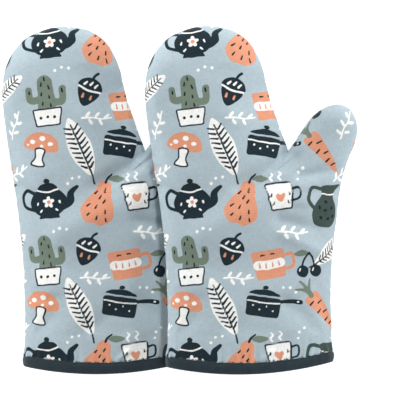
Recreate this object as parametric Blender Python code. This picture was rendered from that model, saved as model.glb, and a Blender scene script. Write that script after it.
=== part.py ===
"""Pair of padded oven gloves lying on a table, the right glove resting on the left glove's thumb.

Metres, +Z up, fingertips towards +Y, thumbs towards +X. The origin is on the table, at the
centre of the pair's bounding box. Each glove is a sewn bag of six panels (printed cotton
outside, wadding, cotton lining, each cut twice), closed by its seam threads and finished
with a folded tape round the cuff. A glove is drawn in its own frame first: x across from the
middle of the cuff, y from the lowest point of the cuff tape, z from the side seam.
"""

import bmesh
import bpy
import numpy as np
from mathutils import Vector
from mathutils.bvhtree import BVHTree

MM = 0.001

# One glove, over all
GLOVE_LENGTH = 280 * MM
GLOVE_WIDTH = 171 * MM
SEAM_HEIGHT = 9 * MM

# How far the front stands above the side seam
CUFF_CROWN = 21 * MM
PALM_CROWN = 25 * MM
FINGER_CROWN = 22 * MM
THUMB_CROWN = 17 * MM
# Above the cuff the wadded front is flatter on top than a round one: its curve goes this share
# of the way from the root of 1 - reach^2 to the root of 1 - reach^TOP_POWER
TOP_POWER = 3.4
TOP_FLAT_SHARE = 0.6
# The front's main soft folds: how far the middle of each stands out, or sinks in, and how far
# to the side of it there is still a third of that
CROTCH_FOLD_DEPTH = 4.2 * MM
CROTCH_FOLD_WIDTH = 7 * MM
HAND_RIDGE_HEIGHT = 2.6 * MM
HAND_RIDGE_WIDTH = 10 * MM
PALM_FOLD_DEPTH = 2.6 * MM
PALM_FOLD_WIDTH = 14 * MM
# They fade over this height above the cuff, and as 1 - reach^FOLD_POWER towards the side seam
FOLD_FADE = 16 * MM
FOLD_POWER = 8

# The cloth
OUTER_CLOTH = 0.8 * MM
WADDING = 4 * MM
HEM_WADDING = 1.5 * MM
LINING_CLOTH = 0.6 * MM
CLEARANCE = 0.3 * MM
THREAD = 0.5 * MM

# The cuff
BINDING_WIDTH = 8 * MM
BINDING_TAPE = 1.2 * MM
CUFF_WIDTH = 132.4 * MM
HEM_RISE_LEFT = 5.4 * MM
HEM_RISE_RIGHT = 9.1 * MM
HEM_BOW_REACH = 75 * MM
HEM_TAPER = 14 * MM

# How the two gloves lie
PAIR_SPACING = 115.4 * MM
PRESS_START = 18 * MM
PRESS_END = 52 * MM
PRESSED_SHARE = 0.5
DRAPE_FLAT_SHARE = 0.33
DRAPE_POWER = 1.2

# Side outline, as (share of the width, share of the length), from above the cuff to the crotch
HAND_SIDE_SHARES = (
    (-0.388, 0.153),
    (-0.394, 0.286),
    (-0.409, 0.4),
    (-0.434, 0.527),
    (-0.466, 0.646),
    (-0.49, 0.757),
    (-0.4942, 0.822),
)
HAND_TIP_SHARES = (
    (-0.469, 0.896),
    (-0.401, 0.956),
    (-0.31, 0.988),
    (-0.205, 1.0),
    (-0.088, 0.989),
    (-0.003, 0.954),
    (0.055, 0.889),
)
HAND_INNER_SHARES = ((0.0815, 0.818), (0.112, 0.76), (0.148, 0.698), (0.184, 0.64))
THUMB_INNER_SHARES = ((0.216, 0.67), (0.258, 0.71), (0.301, 0.743))
THUMB_TIP_SHARES = ((0.357, 0.767), (0.42, 0.7755), (0.478, 0.759), (0.5058, 0.716))
THUMB_OUTER_SHARES = (
    (0.498, 0.668),
    (0.465, 0.618),
    (0.439, 0.568),
    (0.4246, 0.521),
    (0.408, 0.43),
    (0.389, 0.325),
    (0.3835, 0.22),
    (0.387, 0.13),
)
# The outline passes the fork of the middle lines at this point of it on either side
FORK_KNOT = 4
# Middle lines of the hand and the thumb, which part at the fork
FORK_SHARES = (-0.018, 0.525)
PALM_MIDDLE_SHARES = ((0, 0.143), (-0.003, 0.286), (-0.009, 0.411))
HAND_MIDDLE_SHARES = ((-0.082, 0.614), (-0.158, 0.714), (-0.205, 0.818))
THUMB_MIDDLE_SHARES = ((0.129, 0.541), (0.263, 0.6), (0.348, 0.661), (0.398, 0.707))
# Lines of the folds: from the crotch down across the hand, the ridge under that, across the palm
CROTCH_FOLD_SHARES = (
    (0.193, 0.629),
    (0.14, 0.604),
    (0.082, 0.589),
    (0.012, 0.564),
    (-0.047, 0.539),
)
HAND_RIDGE_SHARES = (
    (0.257, 0.511),
    (0.152, 0.525),
    (0.047, 0.507),
    (-0.07, 0.468),
    (-0.21, 0.425),
)
PALM_FOLD_SHARES = ((-0.327, 0.343), (-0.117, 0.343), (0.117, 0.321), (0.269, 0.314))

# How many strips the cloth is drawn with along and across the glove
PALM_STRIPS = 6
HAND_STRIPS = 5
HAND_TIP_STRIPS = 12
THUMB_STRIPS = 4
THUMB_TIP_STRIPS = 8
FRONT_STRIPS = 7
BACK_STRIPS = 5
FLAT_STRIPS = 3
CUFF_STRIPS = 2
CURVE_STEPS = 24
THREAD_BEVEL_STEPS = 0
SHARP_ANGLE = np.radians(50)

# Sizes that follow from the ones above
SEAM_GAP = THREAD + CLEARANCE
WRAP = CLEARANCE + BINDING_TAPE
DITCH = CLEARANCE + THREAD / 2
CUFF_BAND = BINDING_WIDTH + 2 * DITCH + CLEARANCE
CUFF_HALF = CUFF_WIDTH / 2
SAME_POINT = CLEARANCE / 30
NO_LENGTH = CLEARANCE / 300

# Colours, as linear red, green and blue
PRINT_GROUND = (0.39, 0.5, 0.57)
WADDING_WHITE = (0.82, 0.81, 0.77)
LINING_GREY = (0.62, 0.64, 0.65)
TAPE_SLATE = (0.028, 0.05, 0.069)
SEAM_GREY = (0.3, 0.4, 0.47)
CLOTH_ROUGHNESS = 0.9


def clear_scene():
    """Removes whatever the scene holds."""
    for obj in list(bpy.data.objects):
        bpy.data.objects.remove(obj, do_unlink=True)


def cloth_material(name, colour):
    """A plain Principled material for a piece of cloth or thread."""
    material = bpy.data.materials.new(name)
    material.use_nodes = True
    shader = material.node_tree.nodes["Principled BSDF"]
    shader.inputs["Base Color"].default_value = (*colour, 1)
    shader.inputs["Roughness"].default_value = CLOTH_ROUGHNESS
    shader.inputs["Metallic"].default_value = 0
    material.diffuse_color = (*colour, 1)
    return material


def ease(value):
    """Rises smoothly from 0 to 1 as value does."""
    held = np.clip(value, 0, 1)
    return held * held * (3 - 2 * held)


def sized(shares):
    """Points given as shares of the glove's width and length, in metres."""
    return [np.array((x * GLOVE_WIDTH, y * GLOVE_LENGTH)) for x, y in shares]


def spline(points):
    """Closely spaced points on the smooth curve through the given ones, and where each of those lies."""
    ends = [2 * points[0] - points[1], *points, 2 * points[-1] - points[-2]]
    share = np.linspace(0, 1, CURVE_STEPS, endpoint=False)[:, None]
    runs = []
    for a, b, c, d in zip(ends, ends[1:], ends[2:], ends[3:]):
        slope_b, slope_c = (c - a) / 2, (d - b) / 2
        runs.append(
            b
            + slope_b * share
            + (3 * (c - b) - 2 * slope_b - slope_c) * share**2
            + (2 * (b - c) + slope_b + slope_c) * share**3
        )
    line = np.vstack([*runs, points[-1]])
    return line, [k * CURVE_STEPS for k in range(len(points))]


def evenly(line, count):
    """The ends of count equal lengths of a line, without the last one."""
    steps = np.linalg.norm(np.diff(line, axis=0), axis=1)
    along = np.concatenate([[0], np.cumsum(steps)])
    wanted = np.linspace(0, along[-1], count + 1)[:-1]
    return np.stack([np.interp(wanted, along, line[:, k]) for k in range(2)], axis=1)


def divided(points, breaks, counts):
    """Stations along a smooth curve: each stretch between breaks is cut into its own count."""
    line, places = spline(points)
    marks = [places[k] for k in breaks]
    runs = [evenly(line[a : b + 1], n) for a, b, n in zip(marks, marks[1:], counts)]
    return np.vstack(runs)


def undivided(points, count):
    """Stations along a smooth curve, cut into count equal lengths from end to end."""
    return divided(points, (0, len(points) - 1), (count,))


def cuff_rows(rise, side):
    """The cuff's three lowest stations on one side: hem, top of the straight band, end of the taper."""
    hem = rise + WRAP
    return np.array([(side * CUFF_HALF, hem + up) for up in (0, CUFF_BAND, CUFF_BAND + HEM_TAPER)])


def outline_stations():
    """The side seam's stations, from the hem's left corner round hand, crotch and thumb to the right one."""
    left = cuff_rows(HEM_RISE_LEFT, -1)
    right = cuff_rows(HEM_RISE_RIGHT, 1)
    side, tip = sized(HAND_SIDE_SHARES), sized(HAND_TIP_SHARES)
    inner = sized(HAND_INNER_SHARES)
    hand = [left[-1], *side, *tip, *inner]
    hand_breaks = (0, FORK_KNOT, len(side), len(side) + len(tip) + 1, len(hand) - 1)
    hand_counts = (PALM_STRIPS, HAND_STRIPS, HAND_TIP_STRIPS, HAND_STRIPS)
    thumb_in, thumb_tip = sized(THUMB_INNER_SHARES), sized(THUMB_TIP_SHARES)
    outer = sized(THUMB_OUTER_SHARES)
    thumb = [inner[-1], *thumb_in, *thumb_tip, *outer, right[-1]]
    tip_end = len(thumb_in) + len(thumb_tip)
    thumb_breaks = (0, len(thumb_in), tip_end, tip_end + FORK_KNOT, len(thumb) - 1)
    thumb_counts = (THUMB_STRIPS, THUMB_TIP_STRIPS, THUMB_STRIPS, PALM_STRIPS)
    return np.vstack(
        [
            left[:-1],
            divided(hand, hand_breaks, hand_counts),
            divided(thumb, thumb_breaks, thumb_counts),
            right[::-1],
        ]
    )


def middle_stations():
    """For each station of the side seam, the point of the middle lines that its rib starts from."""
    rise = (HEM_RISE_LEFT + HEM_RISE_RIGHT) / 2
    cuff = cuff_rows(rise, 0)
    fork = sized([FORK_SHARES])
    palm = undivided([cuff[-1], *sized(PALM_MIDDLE_SHARES), *fork], PALM_STRIPS)
    hand = undivided([*fork, *sized(HAND_MIDDLE_SHARES)], HAND_STRIPS)
    thumb = undivided([*fork, *sized(THUMB_MIDDLE_SHARES)], THUMB_STRIPS)
    hand_end, thumb_end = sized([HAND_MIDDLE_SHARES[-1]]), sized([THUMB_MIDDLE_SHARES[-1]])
    return np.vstack(
        [
            cuff[:-1],
            palm,
            hand,
            np.repeat(hand_end, HAND_TIP_STRIPS + 1, axis=0),
            hand[:0:-1],
            thumb,
            np.repeat(thumb_end, THUMB_TIP_STRIPS + 1, axis=0),
            thumb[:0:-1],
            fork,
            palm[:0:-1],
            cuff[::-1],
        ]
    )


def crown_stations():
    """The front's height above the side seam where each rib starts."""
    cuff = np.full(CUFF_STRIPS, CUFF_CROWN)
    palm_share = ease(np.arange(PALM_STRIPS) / PALM_STRIPS)
    palm = CUFF_CROWN + (PALM_CROWN - CUFF_CROWN) * palm_share
    hand_share = np.arange(HAND_STRIPS) / HAND_STRIPS
    hand = PALM_CROWN + (FINGER_CROWN - PALM_CROWN) * hand_share
    thumb_share = np.arange(THUMB_STRIPS) / THUMB_STRIPS
    thumb = PALM_CROWN + (THUMB_CROWN - PALM_CROWN) * thumb_share
    return np.concatenate(
        [
            cuff,
            palm,
            hand,
            np.full(HAND_TIP_STRIPS + 1, FINGER_CROWN),
            hand[:0:-1],
            thumb,
            np.full(THUMB_TIP_STRIPS + 1, THUMB_CROWN),
            thumb[:0:-1],
            [PALM_CROWN],
            palm[:0:-1],
            np.full(CUFF_STRIPS + 1, CUFF_CROWN),
        ]
    )


def outward(outline):
    """Unit vectors square to the side seam, pointing out of the glove."""
    runs = np.diff(outline, axis=0)
    runs /= np.linalg.norm(runs, axis=1)[:, None]
    along = np.vstack([runs[:1], runs[:-1] + runs[1:], runs[-1:]])
    along /= np.linalg.norm(along, axis=1)[:, None]
    across = np.stack([-along[:, 1], along[:, 0]], axis=1)
    across[[0, -1]] = ((-1, 0), (1, 0))
    return across


def fold_rise(places, shares, height, width):
    """How far one fold lifts the cloth at each place: a bell across the fold's line."""
    line = spline(sized(shares))[0]
    gap = np.linalg.norm(places[..., None, :] - line, axis=-1).min(axis=-1)
    return height * np.exp(-((gap / width) ** 2))


def reach_steps(strips):
    """How far out along its rib each point lies, closer together towards the side seam."""
    return np.sin(np.linspace(0, np.pi / 2, strips + 1))


class Pattern:
    """The glove's shape as ribs: each runs from a middle line to a station of the side seam."""

    def __init__(self):
        self.outline = outline_stations()
        self.middle = middle_stations()
        self.crown = crown_stations()
        self.out = outward(self.outline)
        last = len(self.outline) - 1
        rows = np.minimum(np.arange(last + 1), last - np.arange(last + 1))
        self.in_cuff = rows < CUFF_STRIPS
        above = self.middle[:, 1] - self.middle[0, 1] - CUFF_BAND
        self.bow = 1 - ease(above / HEM_BOW_REACH)
        self.bow[self.in_cuff] = 1
        self.front_reach = reach_steps(FRONT_STRIPS)
        self.back_reach = reach_steps(BACK_STRIPS)
        self.folds = self.fold_heights()

    def plan(self, depth, reach):
        """Places of the ribs' points seen from above, station by reach, at a depth."""
        ends = self.outline - depth[:, None] * self.out
        plan = self.middle[:, None] + (ends - self.middle)[:, None] * reach[:, None]
        plan[..., 1] -= self.bow_depth() * self.bow[:, None] * (1 - reach**2)
        return plan

    def front_profile(self):
        """The front's height at each station and reach, as a share of the crown."""
        round_top, flat_top = (np.sqrt(1 - self.front_reach**power) for power in (2, TOP_POWER))
        flatter = TOP_FLAT_SHARE * (flat_top - round_top)
        return round_top + np.where(self.in_cuff, 0, 1)[:, None] * flatter

    def fold_heights(self):
        """How far the folds lift the front at each station and reach."""
        places = self.plan(np.zeros(len(self.middle)), self.front_reach)
        above = places[..., 1] - HEM_RISE_RIGHT - WRAP - CUFF_BAND
        fade = (1 - self.front_reach**FOLD_POWER) * ease(above / FOLD_FADE)
        folds = (
            (CROTCH_FOLD_SHARES, -CROTCH_FOLD_DEPTH, CROTCH_FOLD_WIDTH),
            (HAND_RIDGE_SHARES, HAND_RIDGE_HEIGHT, HAND_RIDGE_WIDTH),
            (PALM_FOLD_SHARES, -PALM_FOLD_DEPTH, PALM_FOLD_WIDTH),
        )
        return fade * sum(fold_rise(places, *fold) for fold in folds)

    def bow_depth(self):
        """How far the hem's middle hangs below the line between its corners."""
        return (HEM_RISE_LEFT + HEM_RISE_RIGHT) / 2

    def floor_depth(self):
        """How far the back lies below the side seam at each station, less where the tape lies under it."""
        return SEAM_HEIGHT - np.where(self.in_cuff, WRAP, 0)

    def surface(self, depth, front):
        """Grid of points, station by reach, on the surface depth metres inside the outer face."""
        depth = np.broadcast_to(depth, self.crown.shape)
        if front:
            reach = self.front_reach
            height = self.crown[:, None] - depth[:, None]
            z = SEAM_GAP / 2 + height * self.front_profile() + self.folds
        else:
            reach = self.back_reach
            flat = reach[FLAT_STRIPS - 1]
            curve = np.clip((reach - flat) / (1 - flat), 0, 1)
            height = self.floor_depth()[:, None] - depth[:, None] - SEAM_GAP / 2
            z = -SEAM_GAP / 2 - height * np.sqrt(1 - curve**2)
        return np.dstack([self.plan(depth, reach), z])

    def layers(self):
        """Depths of each sheet's outer and inner face, at each station."""
        hem = self.in_cuff
        fill = np.where(hem, HEM_WADDING, WADDING)
        wadding = OUTER_CLOTH + CLEARANCE
        lining = wadding + fill + CLEARANCE
        return {
            "panel": (0, OUTER_CLOTH),
            "wadding": (wadding, wadding + fill),
            "lining": (lining, lining + LINING_CLOTH),
        }

    def hem_depth(self):
        """Thickness of the whole wall at the hem, under the tape."""
        return OUTER_CLOTH + HEM_WADDING + LINING_CLOTH + 2 * CLEARANCE

    def hem_loop(self, depth, up):
        """Closed loop of points round the cuff, depth inside its outer face and up from the hem."""
        front, back = self.surface(depth, True), self.surface(depth, False)
        loop = np.vstack([front[0, ::-1], front[-1, 1:], back[-1, ::-1], back[0, 1:]])
        loop[:, 1] += up
        return loop

    def seam_line(self, depth):
        """Points along the side seam, depth inside its outer face."""
        depth = np.broadcast_to(depth, self.crown.shape)
        plan = self.outline - depth[:, None] * self.out
        return np.hstack([plan, np.zeros((len(plan), 1))])


class Lie:
    """How a glove lies: where it is, how its thumb side is pressed and how far it rides up."""

    def __init__(self, shift, press, lift):
        self.shift = shift
        self.press = press
        self.lift = lift

    def placed(self, points):
        """Points of the glove's own frame, bent as the glove lies, still in its own frame."""
        points = np.array(points)
        pressed = ease((points[..., 0] - PRESS_START) / (PRESS_END - PRESS_START))
        above = np.clip(points[..., 2] - SEAM_GAP / 2, 0, None)
        points[..., 2] -= (1 - self.press) * pressed * above
        points[..., 2] += SEAM_HEIGHT + self.lift * drape(points[..., 0])
        return points


def drape(x):
    """Share of the lift at x: none over the flat side, all of it at the far edge of the hand."""
    far = min(HAND_SIDE_SHARES)[0] * GLOVE_WIDTH
    flat = DRAPE_FLAT_SHARE * GLOVE_WIDTH
    return np.clip((flat - x) / (flat - far), 0, None) ** DRAPE_POWER


def grid_faces(rows, columns, offset, turned):
    """Faces of a rows by columns grid of points, numbered from offset.

    A turned face starts at the same corner, so that both kinds are cut along the same diagonal.
    """
    first = offset + np.arange(rows - 1)[:, None] * columns + np.arange(columns - 1)
    faces = np.stack([first, first + 1, first + columns + 1, first + columns], axis=-1)
    faces = faces.reshape(-1, 4)
    return faces[:, [0, 3, 2, 1]] if turned else faces


def sheet_mesh(name, outer, inner):
    """Closed mesh of a sheet of cloth between two grids of points, open nowhere."""
    rows, columns = outer.shape[:2]
    count = rows * columns
    number = np.arange(count).reshape(rows, columns)
    edge = np.concatenate([number[0], number[1:, -1], number[-1, -2::-1]])
    rim = np.stack([edge[:-1], edge[1:], edge[1:] + count, edge[:-1] + count], axis=1)
    faces = np.vstack(
        [grid_faces(rows, columns, 0, False), grid_faces(rows, columns, count, True), rim]
    )
    points = np.vstack([outer.reshape(-1, 3), inner.reshape(-1, 3)])
    return closed_mesh(name, points, faces)


def closed_mesh(name, points, faces):
    """Mesh of these faces with doubled points merged and the faces pointing out."""
    mesh = bpy.data.meshes.new(name)
    mesh.from_pydata(points.tolist(), [], faces.tolist())
    shape = bmesh.new()
    shape.from_mesh(mesh)
    bmesh.ops.remove_doubles(shape, verts=shape.verts, dist=SAME_POINT)
    bmesh.ops.dissolve_degenerate(shape, edges=shape.edges, dist=NO_LENGTH)
    bmesh.ops.triangulate(shape, faces=shape.faces, quad_method="FIXED")
    bmesh.ops.recalc_face_normals(shape, faces=shape.faces)
    shape.to_mesh(mesh)
    shape.free()
    mesh.shade_smooth()
    mesh.set_sharp_from_angle(angle=SHARP_ANGLE)
    return mesh


def tape_profile(pattern):
    """The folded tape's section as (depth, up) pairs: out and down, round the fold, up inside, and back."""
    wall = pattern.hem_depth()
    outside, inside = -WRAP, wall + WRAP
    corner = BINDING_TAPE / 2
    outer_face = [
        (-CLEARANCE, BINDING_WIDTH),
        (outside + corner, BINDING_WIDTH),
        (outside, BINDING_WIDTH - corner),
        (outside, -CLEARANCE),
        (outside + corner, -WRAP + corner / 2),
        (outside + 2 * corner, -WRAP),
        (inside - 2 * corner, -WRAP),
        (inside - corner, -WRAP + corner / 2),
        (inside, -CLEARANCE),
        (inside, BINDING_WIDTH - corner),
        (inside - corner, BINDING_WIDTH),
        (wall + CLEARANCE, BINDING_WIDTH),
    ]
    inner_face = [(wall + CLEARANCE, -CLEARANCE), (-CLEARANCE, -CLEARANCE)]
    return outer_face + inner_face


def binding_mesh(name, pattern, lie):
    """The cuff tape: its folded section carried round the hem as one closed ring."""
    profile = tape_profile(pattern)
    loops = [lie.placed(pattern.hem_loop(depth, up)) for depth, up in profile]
    ring = np.stack([*loops, loops[0]])
    ring = np.concatenate([ring, ring[:, :1]], axis=1)
    rows, columns = ring.shape[:2]
    return closed_mesh(name, ring.reshape(-1, 3), grid_faces(rows, columns, 0, False))


def thread_curve(name, points, closed):
    """A thread as a round tube along points."""
    curve = bpy.data.curves.new(name, "CURVE")
    curve.dimensions = "3D"
    curve.bevel_depth = THREAD / 2
    curve.bevel_resolution = THREAD_BEVEL_STEPS
    curve.use_fill_caps = not closed
    run = curve.splines.new("POLY")
    run.points.add(len(points) - 1)
    for knot, point in zip(run.points, points):
        knot.co = (*point, 1)
    run.use_cyclic_u = closed
    return curve


def without_repeats(points):
    """The points with each one that sits on its neighbour left out."""
    gaps = np.linalg.norm(points - np.roll(points, 1, axis=0), axis=1)
    return points[gaps > CLEARANCE]


def glove_shapes(prefix, pattern, lie):
    """Name, shape and material of every piece of one glove."""
    layers = pattern.layers()
    colours = {"panel": PRINT_GROUND, "wadding": WADDING_WHITE, "lining": LINING_GREY}
    pieces = []
    for layer, (near, far) in layers.items():
        for face, front in (("front", True), ("back", False)):
            name = f"{prefix}_{face}_{layer}"
            outer = lie.placed(pattern.surface(near, front))
            inner = lie.placed(pattern.surface(far, front))
            pieces.append((name, sheet_mesh(name, outer, inner), colours[layer]))
    name = f"{prefix}_cuff_binding"
    pieces.append((name, binding_mesh(name, pattern, lie), TAPE_SLATE))
    seams = (("seam_thread", "panel", SEAM_GREY), ("lining_thread", "lining", LINING_GREY))
    for label, layer, colour in seams:
        name = f"{prefix}_{label}"
        line = lie.placed(pattern.seam_line(sum(layers[layer]) / 2))
        pieces.append((name, thread_curve(name, line, False), colour))
    name = f"{prefix}_binding_thread"
    ditch = without_repeats(lie.placed(pattern.hem_loop(-DITCH, BINDING_WIDTH + DITCH)))
    pieces.append((name, thread_curve(name, ditch, True), TAPE_SLATE))
    return pieces


def facets(pattern, lie, front):
    """Points and faces of a glove's outer face and of the tape on it."""
    grid = lie.placed(pattern.surface(0, front))
    rows, columns = grid.shape[:2]
    loops = [pattern.hem_loop(-WRAP, up) for up in (-CLEARANCE, BINDING_WIDTH)]
    band = lie.placed(np.stack(loops))
    points = np.vstack([grid.reshape(-1, 3), band.reshape(-1, 3)])
    faces = [
        *grid_faces(rows, columns, 0, False),
        *grid_faces(*band.shape[:2], rows * columns, False),
    ]
    return points, [tuple(int(k) for k in face) for face in faces]


def with_edge_middles(points, faces):
    """The points, and the middles of the faces and of their sides."""
    corners = points[np.array(faces)]
    sides = (corners + np.roll(corners, 1, axis=1)) / 2
    return np.vstack([points, sides.reshape(-1, 3), corners.mean(axis=1)])


def resting_lift(pattern, under, over_lie):
    """The least lift at which the upper glove's back clears the lower glove by one clearance."""
    low_points, low_faces = facets(pattern, under, True)
    high_points, high_faces = facets(pattern, over_lie, False)
    shift = over_lie.shift - under.shift
    high_points = high_points + np.array((shift, 0, 0))
    low_tree = BVHTree.FromPolygons([Vector(p) for p in low_points], low_faces)
    high_tree = BVHTree.FromPolygons([Vector(p) for p in high_points], high_faces)
    far = GLOVE_LENGTH
    needed = 0.0
    for point in with_edge_middles(high_points, high_faces):
        hit = low_tree.ray_cast(Vector((point[0], point[1], far)), Vector((0, 0, -1)))[0]
        share = float(drape(point[0] - shift))
        if hit and share > 0:
            needed = max(needed, (hit.z + CLEARANCE - point[2]) / share)
    for point in with_edge_middles(low_points, low_faces):
        hit = high_tree.ray_cast(Vector((point[0], point[1], -far)), Vector((0, 0, 1)))[0]
        share = float(drape(point[0] - shift))
        if hit and share > 0:
            needed = max(needed, (point[2] + CLEARANCE - hit.z) / share)
    return needed


def add_piece(name, shape, colour, parent):
    """Puts one piece in the scene, in its glove's frame."""
    obj = bpy.data.objects.new(name, shape)
    bpy.context.scene.collection.objects.link(obj)
    obj.parent = parent
    obj.data.materials.append(cloth_material(name, colour))
    return obj


def add_glove(prefix, pattern, lie, place):
    """Builds one glove under an empty of its own at place."""
    frame = bpy.data.objects.new(f"{prefix}_glove_frame", None)
    bpy.context.scene.collection.objects.link(frame)
    frame.location = place
    for name, shape, colour in glove_shapes(prefix, pattern, lie):
        add_piece(name, shape, colour, frame)
    return frame


def main():
    """Builds the pair: the left glove flat on the table, the right one resting on its thumb."""
    clear_scene()
    pattern = Pattern()
    left = Lie(0, PRESSED_SHARE, 0)
    right = Lie(PAIR_SPACING, 1, 0)
    right.lift = resting_lift(pattern, left, right)
    low_x = pattern.outline[:, 0].min()
    high_x = pattern.outline[:, 0].max() + PAIR_SPACING
    middle_y = pattern.outline[:, 1].max() / 2
    place = Vector((-(low_x + high_x) / 2, -middle_y, 0))
    add_glove("left", pattern, left, place)
    add_glove("right", pattern, right, place + Vector((PAIR_SPACING, 0, 0)))
    print("the upper glove's far side is lifted by", round(right.lift / MM, 1), "mm")


if __name__ == "__main__":
    main()
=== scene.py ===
"""The pair of oven gloves, dressed: printed cotton, wadding, lining, bound cuffs and stitching.

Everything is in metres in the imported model's frame: +Z up from the table, +Y towards the
fingertips, +X towards the thumbs. A glove is shaped in its own frame first (x across from the
middle of the cuff, y from the lowest point of the cuff tape, z from the side seam), and is
then laid down as the solid model lays it.
"""

import logging
from dataclasses import dataclass, field
from enum import Enum
from typing import Any, Iterable, Sequence

import bpy
import numpy as np
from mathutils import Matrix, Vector
from numpy.typing import NDArray


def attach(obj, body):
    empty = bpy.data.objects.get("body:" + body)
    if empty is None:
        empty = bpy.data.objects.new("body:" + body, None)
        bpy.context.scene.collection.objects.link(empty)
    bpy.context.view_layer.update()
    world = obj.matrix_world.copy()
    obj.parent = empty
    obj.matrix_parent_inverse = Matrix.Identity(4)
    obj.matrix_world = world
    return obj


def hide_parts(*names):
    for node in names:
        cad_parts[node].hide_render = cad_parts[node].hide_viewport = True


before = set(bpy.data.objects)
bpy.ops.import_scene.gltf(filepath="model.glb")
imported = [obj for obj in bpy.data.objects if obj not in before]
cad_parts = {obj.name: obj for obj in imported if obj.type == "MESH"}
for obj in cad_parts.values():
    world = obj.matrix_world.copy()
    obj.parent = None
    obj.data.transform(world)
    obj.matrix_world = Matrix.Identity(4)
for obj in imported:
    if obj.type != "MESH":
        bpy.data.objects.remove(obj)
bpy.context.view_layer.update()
logger = logging.getLogger("oven_gloves")

MM = 0.001
# The coarse grids take each fourth station and each fourth step of reach
COARSE = 4
Points = NDArray[np.float64]
Numbers = NDArray[np.int64]
Shares = Sequence[tuple[float, float]]
Materials = dict[str, bpy.types.Material]


# Curves and grids


def ease(value: Points) -> Points:
    """Rises smoothly from 0 to 1 as value does: three squares less two cubes."""
    held = np.clip(value, 0, 1)
    return held * held * (3 - 2 * held)


def eased(start: float, end: float, count: int) -> Points:
    """Values from start to end in count steps, slow at both ends."""
    return start + (end - start) * ease(np.arange(count + 1) / count)


def smooth_curve(knots: Points, steps: int, closed: bool = False) -> Points:
    """Points on the smooth curve through the knots.

    Between two knots the curve is a cubic, and its slope at a knot is half the step between
    that knot's two neighbours.

    Args:
        knots: The points that the curve passes through, one a row.
        steps: How many points each stretch between two knots gives.
        closed: Whether the curve runs on from the last knot to the first.

    Returns:
        The curve's points in order, with the last knot once where the curve is open.
    """
    if closed:
        ends = np.vstack([knots[-1:], knots, knots[:2]])
    else:
        ends = np.vstack([2 * knots[:1] - knots[1:2], knots, 2 * knots[-1:] - knots[-2:-1]])
    a, b, c, d = (ends[k : len(ends) - 3 + k, None] for k in range(4))
    t = np.linspace(0, 1, steps, endpoint=False)[None, :, None]
    slope_b, slope_c = (c - a) / 2, (d - b) / 2
    curve = b + slope_b * t + (3 * (c - b) - 2 * slope_b - slope_c) * t**2
    curve = curve + (2 * (b - c) + slope_b + slope_c) * t**3
    curve = curve.reshape(-1, knots.shape[1])
    return curve if closed else np.vstack([curve, knots[-1:]])


def run_length(line: Points) -> Points:
    """The length along a line of points up to each of them."""
    return np.concatenate([[0], np.cumsum(np.linalg.norm(np.diff(line, axis=0), axis=1))])


def evenly(line: Points, count: int) -> Points:
    """The starts of count equal lengths along a line of points."""
    along = run_length(line)
    wanted = np.linspace(0, along[-1], count + 1)[:-1]
    return np.stack([np.interp(wanted, along, line[:, k]) for k in range(line.shape[1])], axis=1)


def divided(knots: Points, breaks: Sequence[int], counts: Sequence[int]) -> Points:
    """Stations along the smooth curve through the knots, a count of its own for each stretch.

    Args:
        knots: The points that the curve passes through.
        breaks: The knots where one stretch ends and the next starts.
        counts: How many equal lengths each stretch is cut into.

    Returns:
        The start of every length, in order along the curve.
    """
    steps = 64
    line = smooth_curve(knots, steps)
    marks = [k * steps for k in breaks]
    runs = [evenly(line[a : b + 1], n) for a, b, n in zip(marks, marks[1:], counts)]
    return np.vstack(runs)


def soft_noise(x: Points, y: Points, size: float, seed: int) -> Points:
    """Smooth noise from about -1 to 1: seven sines of unlike direction and length, added up.

    Args:
        x: First coordinate of each point.
        y: Second coordinate, in the same unit.
        size: The usual distance between two swells, in that unit.
        seed: Picks the directions, the lengths and the phases.

    Returns:
        One value for each point.
    """
    picks = np.random.default_rng(seed)
    waves, shortest, longest = 7, 0.75, 1.7
    turn, phase = picks.uniform(0, 2 * np.pi, (2, waves))
    rate = 2 * np.pi / (size * picks.uniform(shortest, longest, waves))
    angle = (x[..., None] * np.cos(turn) + y[..., None] * np.sin(turn)) * rate + phase
    return np.sin(angle).sum(axis=-1) / np.sqrt(waves * 2)


def turned(places: Points, degrees: float) -> Points:
    """Places in a plane, turned clockwise about its origin."""
    sine, cosine = np.sin(np.radians(degrees)), np.cos(np.radians(degrees))
    return places @ np.array(((cosine, -sine), (sine, cosine)))


def grid_faces(ids: Numbers, flipped: bool = False) -> Numbers:
    """The four-cornered faces of a grid of vertex numbers, turned over where flipped."""
    faces = np.stack([ids[:-1, :-1], ids[:-1, 1:], ids[1:, 1:], ids[1:, :-1]], axis=-1)
    faces = faces.reshape(-1, 4)
    return faces[:, ::-1] if flipped else faces


def make_mesh(name: str, points: Points, *groups: Numbers) -> bpy.types.Mesh:
    """A mesh from points and groups of faces.

    Args:
        name: The mesh's name.
        points: One vertex a row, in metres.
        groups: Arrays of faces, one face a row. A corner that repeats its neighbour is left
            out, and so is a face with fewer than three corners left.

    Returns:
        The mesh, shaded smooth.
    """
    corners, sizes = [], []
    for faces in groups:
        keep = faces != np.roll(faces, 1, axis=1)
        count = keep.sum(axis=1)
        keep[count < 3] = False
        corners.append(faces[keep])
        sizes.append(count[count >= 3])
    corner, size = np.concatenate(corners), np.concatenate(sizes)
    mesh = bpy.data.meshes.new(name)
    mesh.vertices.add(len(points))
    mesh.vertices.foreach_set("co", points.ravel().astype(np.float32))
    mesh.loops.add(len(corner))
    mesh.loops.foreach_set("vertex_index", corner.astype(np.int32))
    mesh.polygons.add(len(size))
    mesh.polygons.foreach_set("loop_start", (np.cumsum(size) - size).astype(np.int32))
    mesh.polygons.foreach_set("loop_total", size.astype(np.int32))
    mesh.update(calc_edges=True)
    mesh.validate()
    mesh.shade_smooth()
    return mesh


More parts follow.
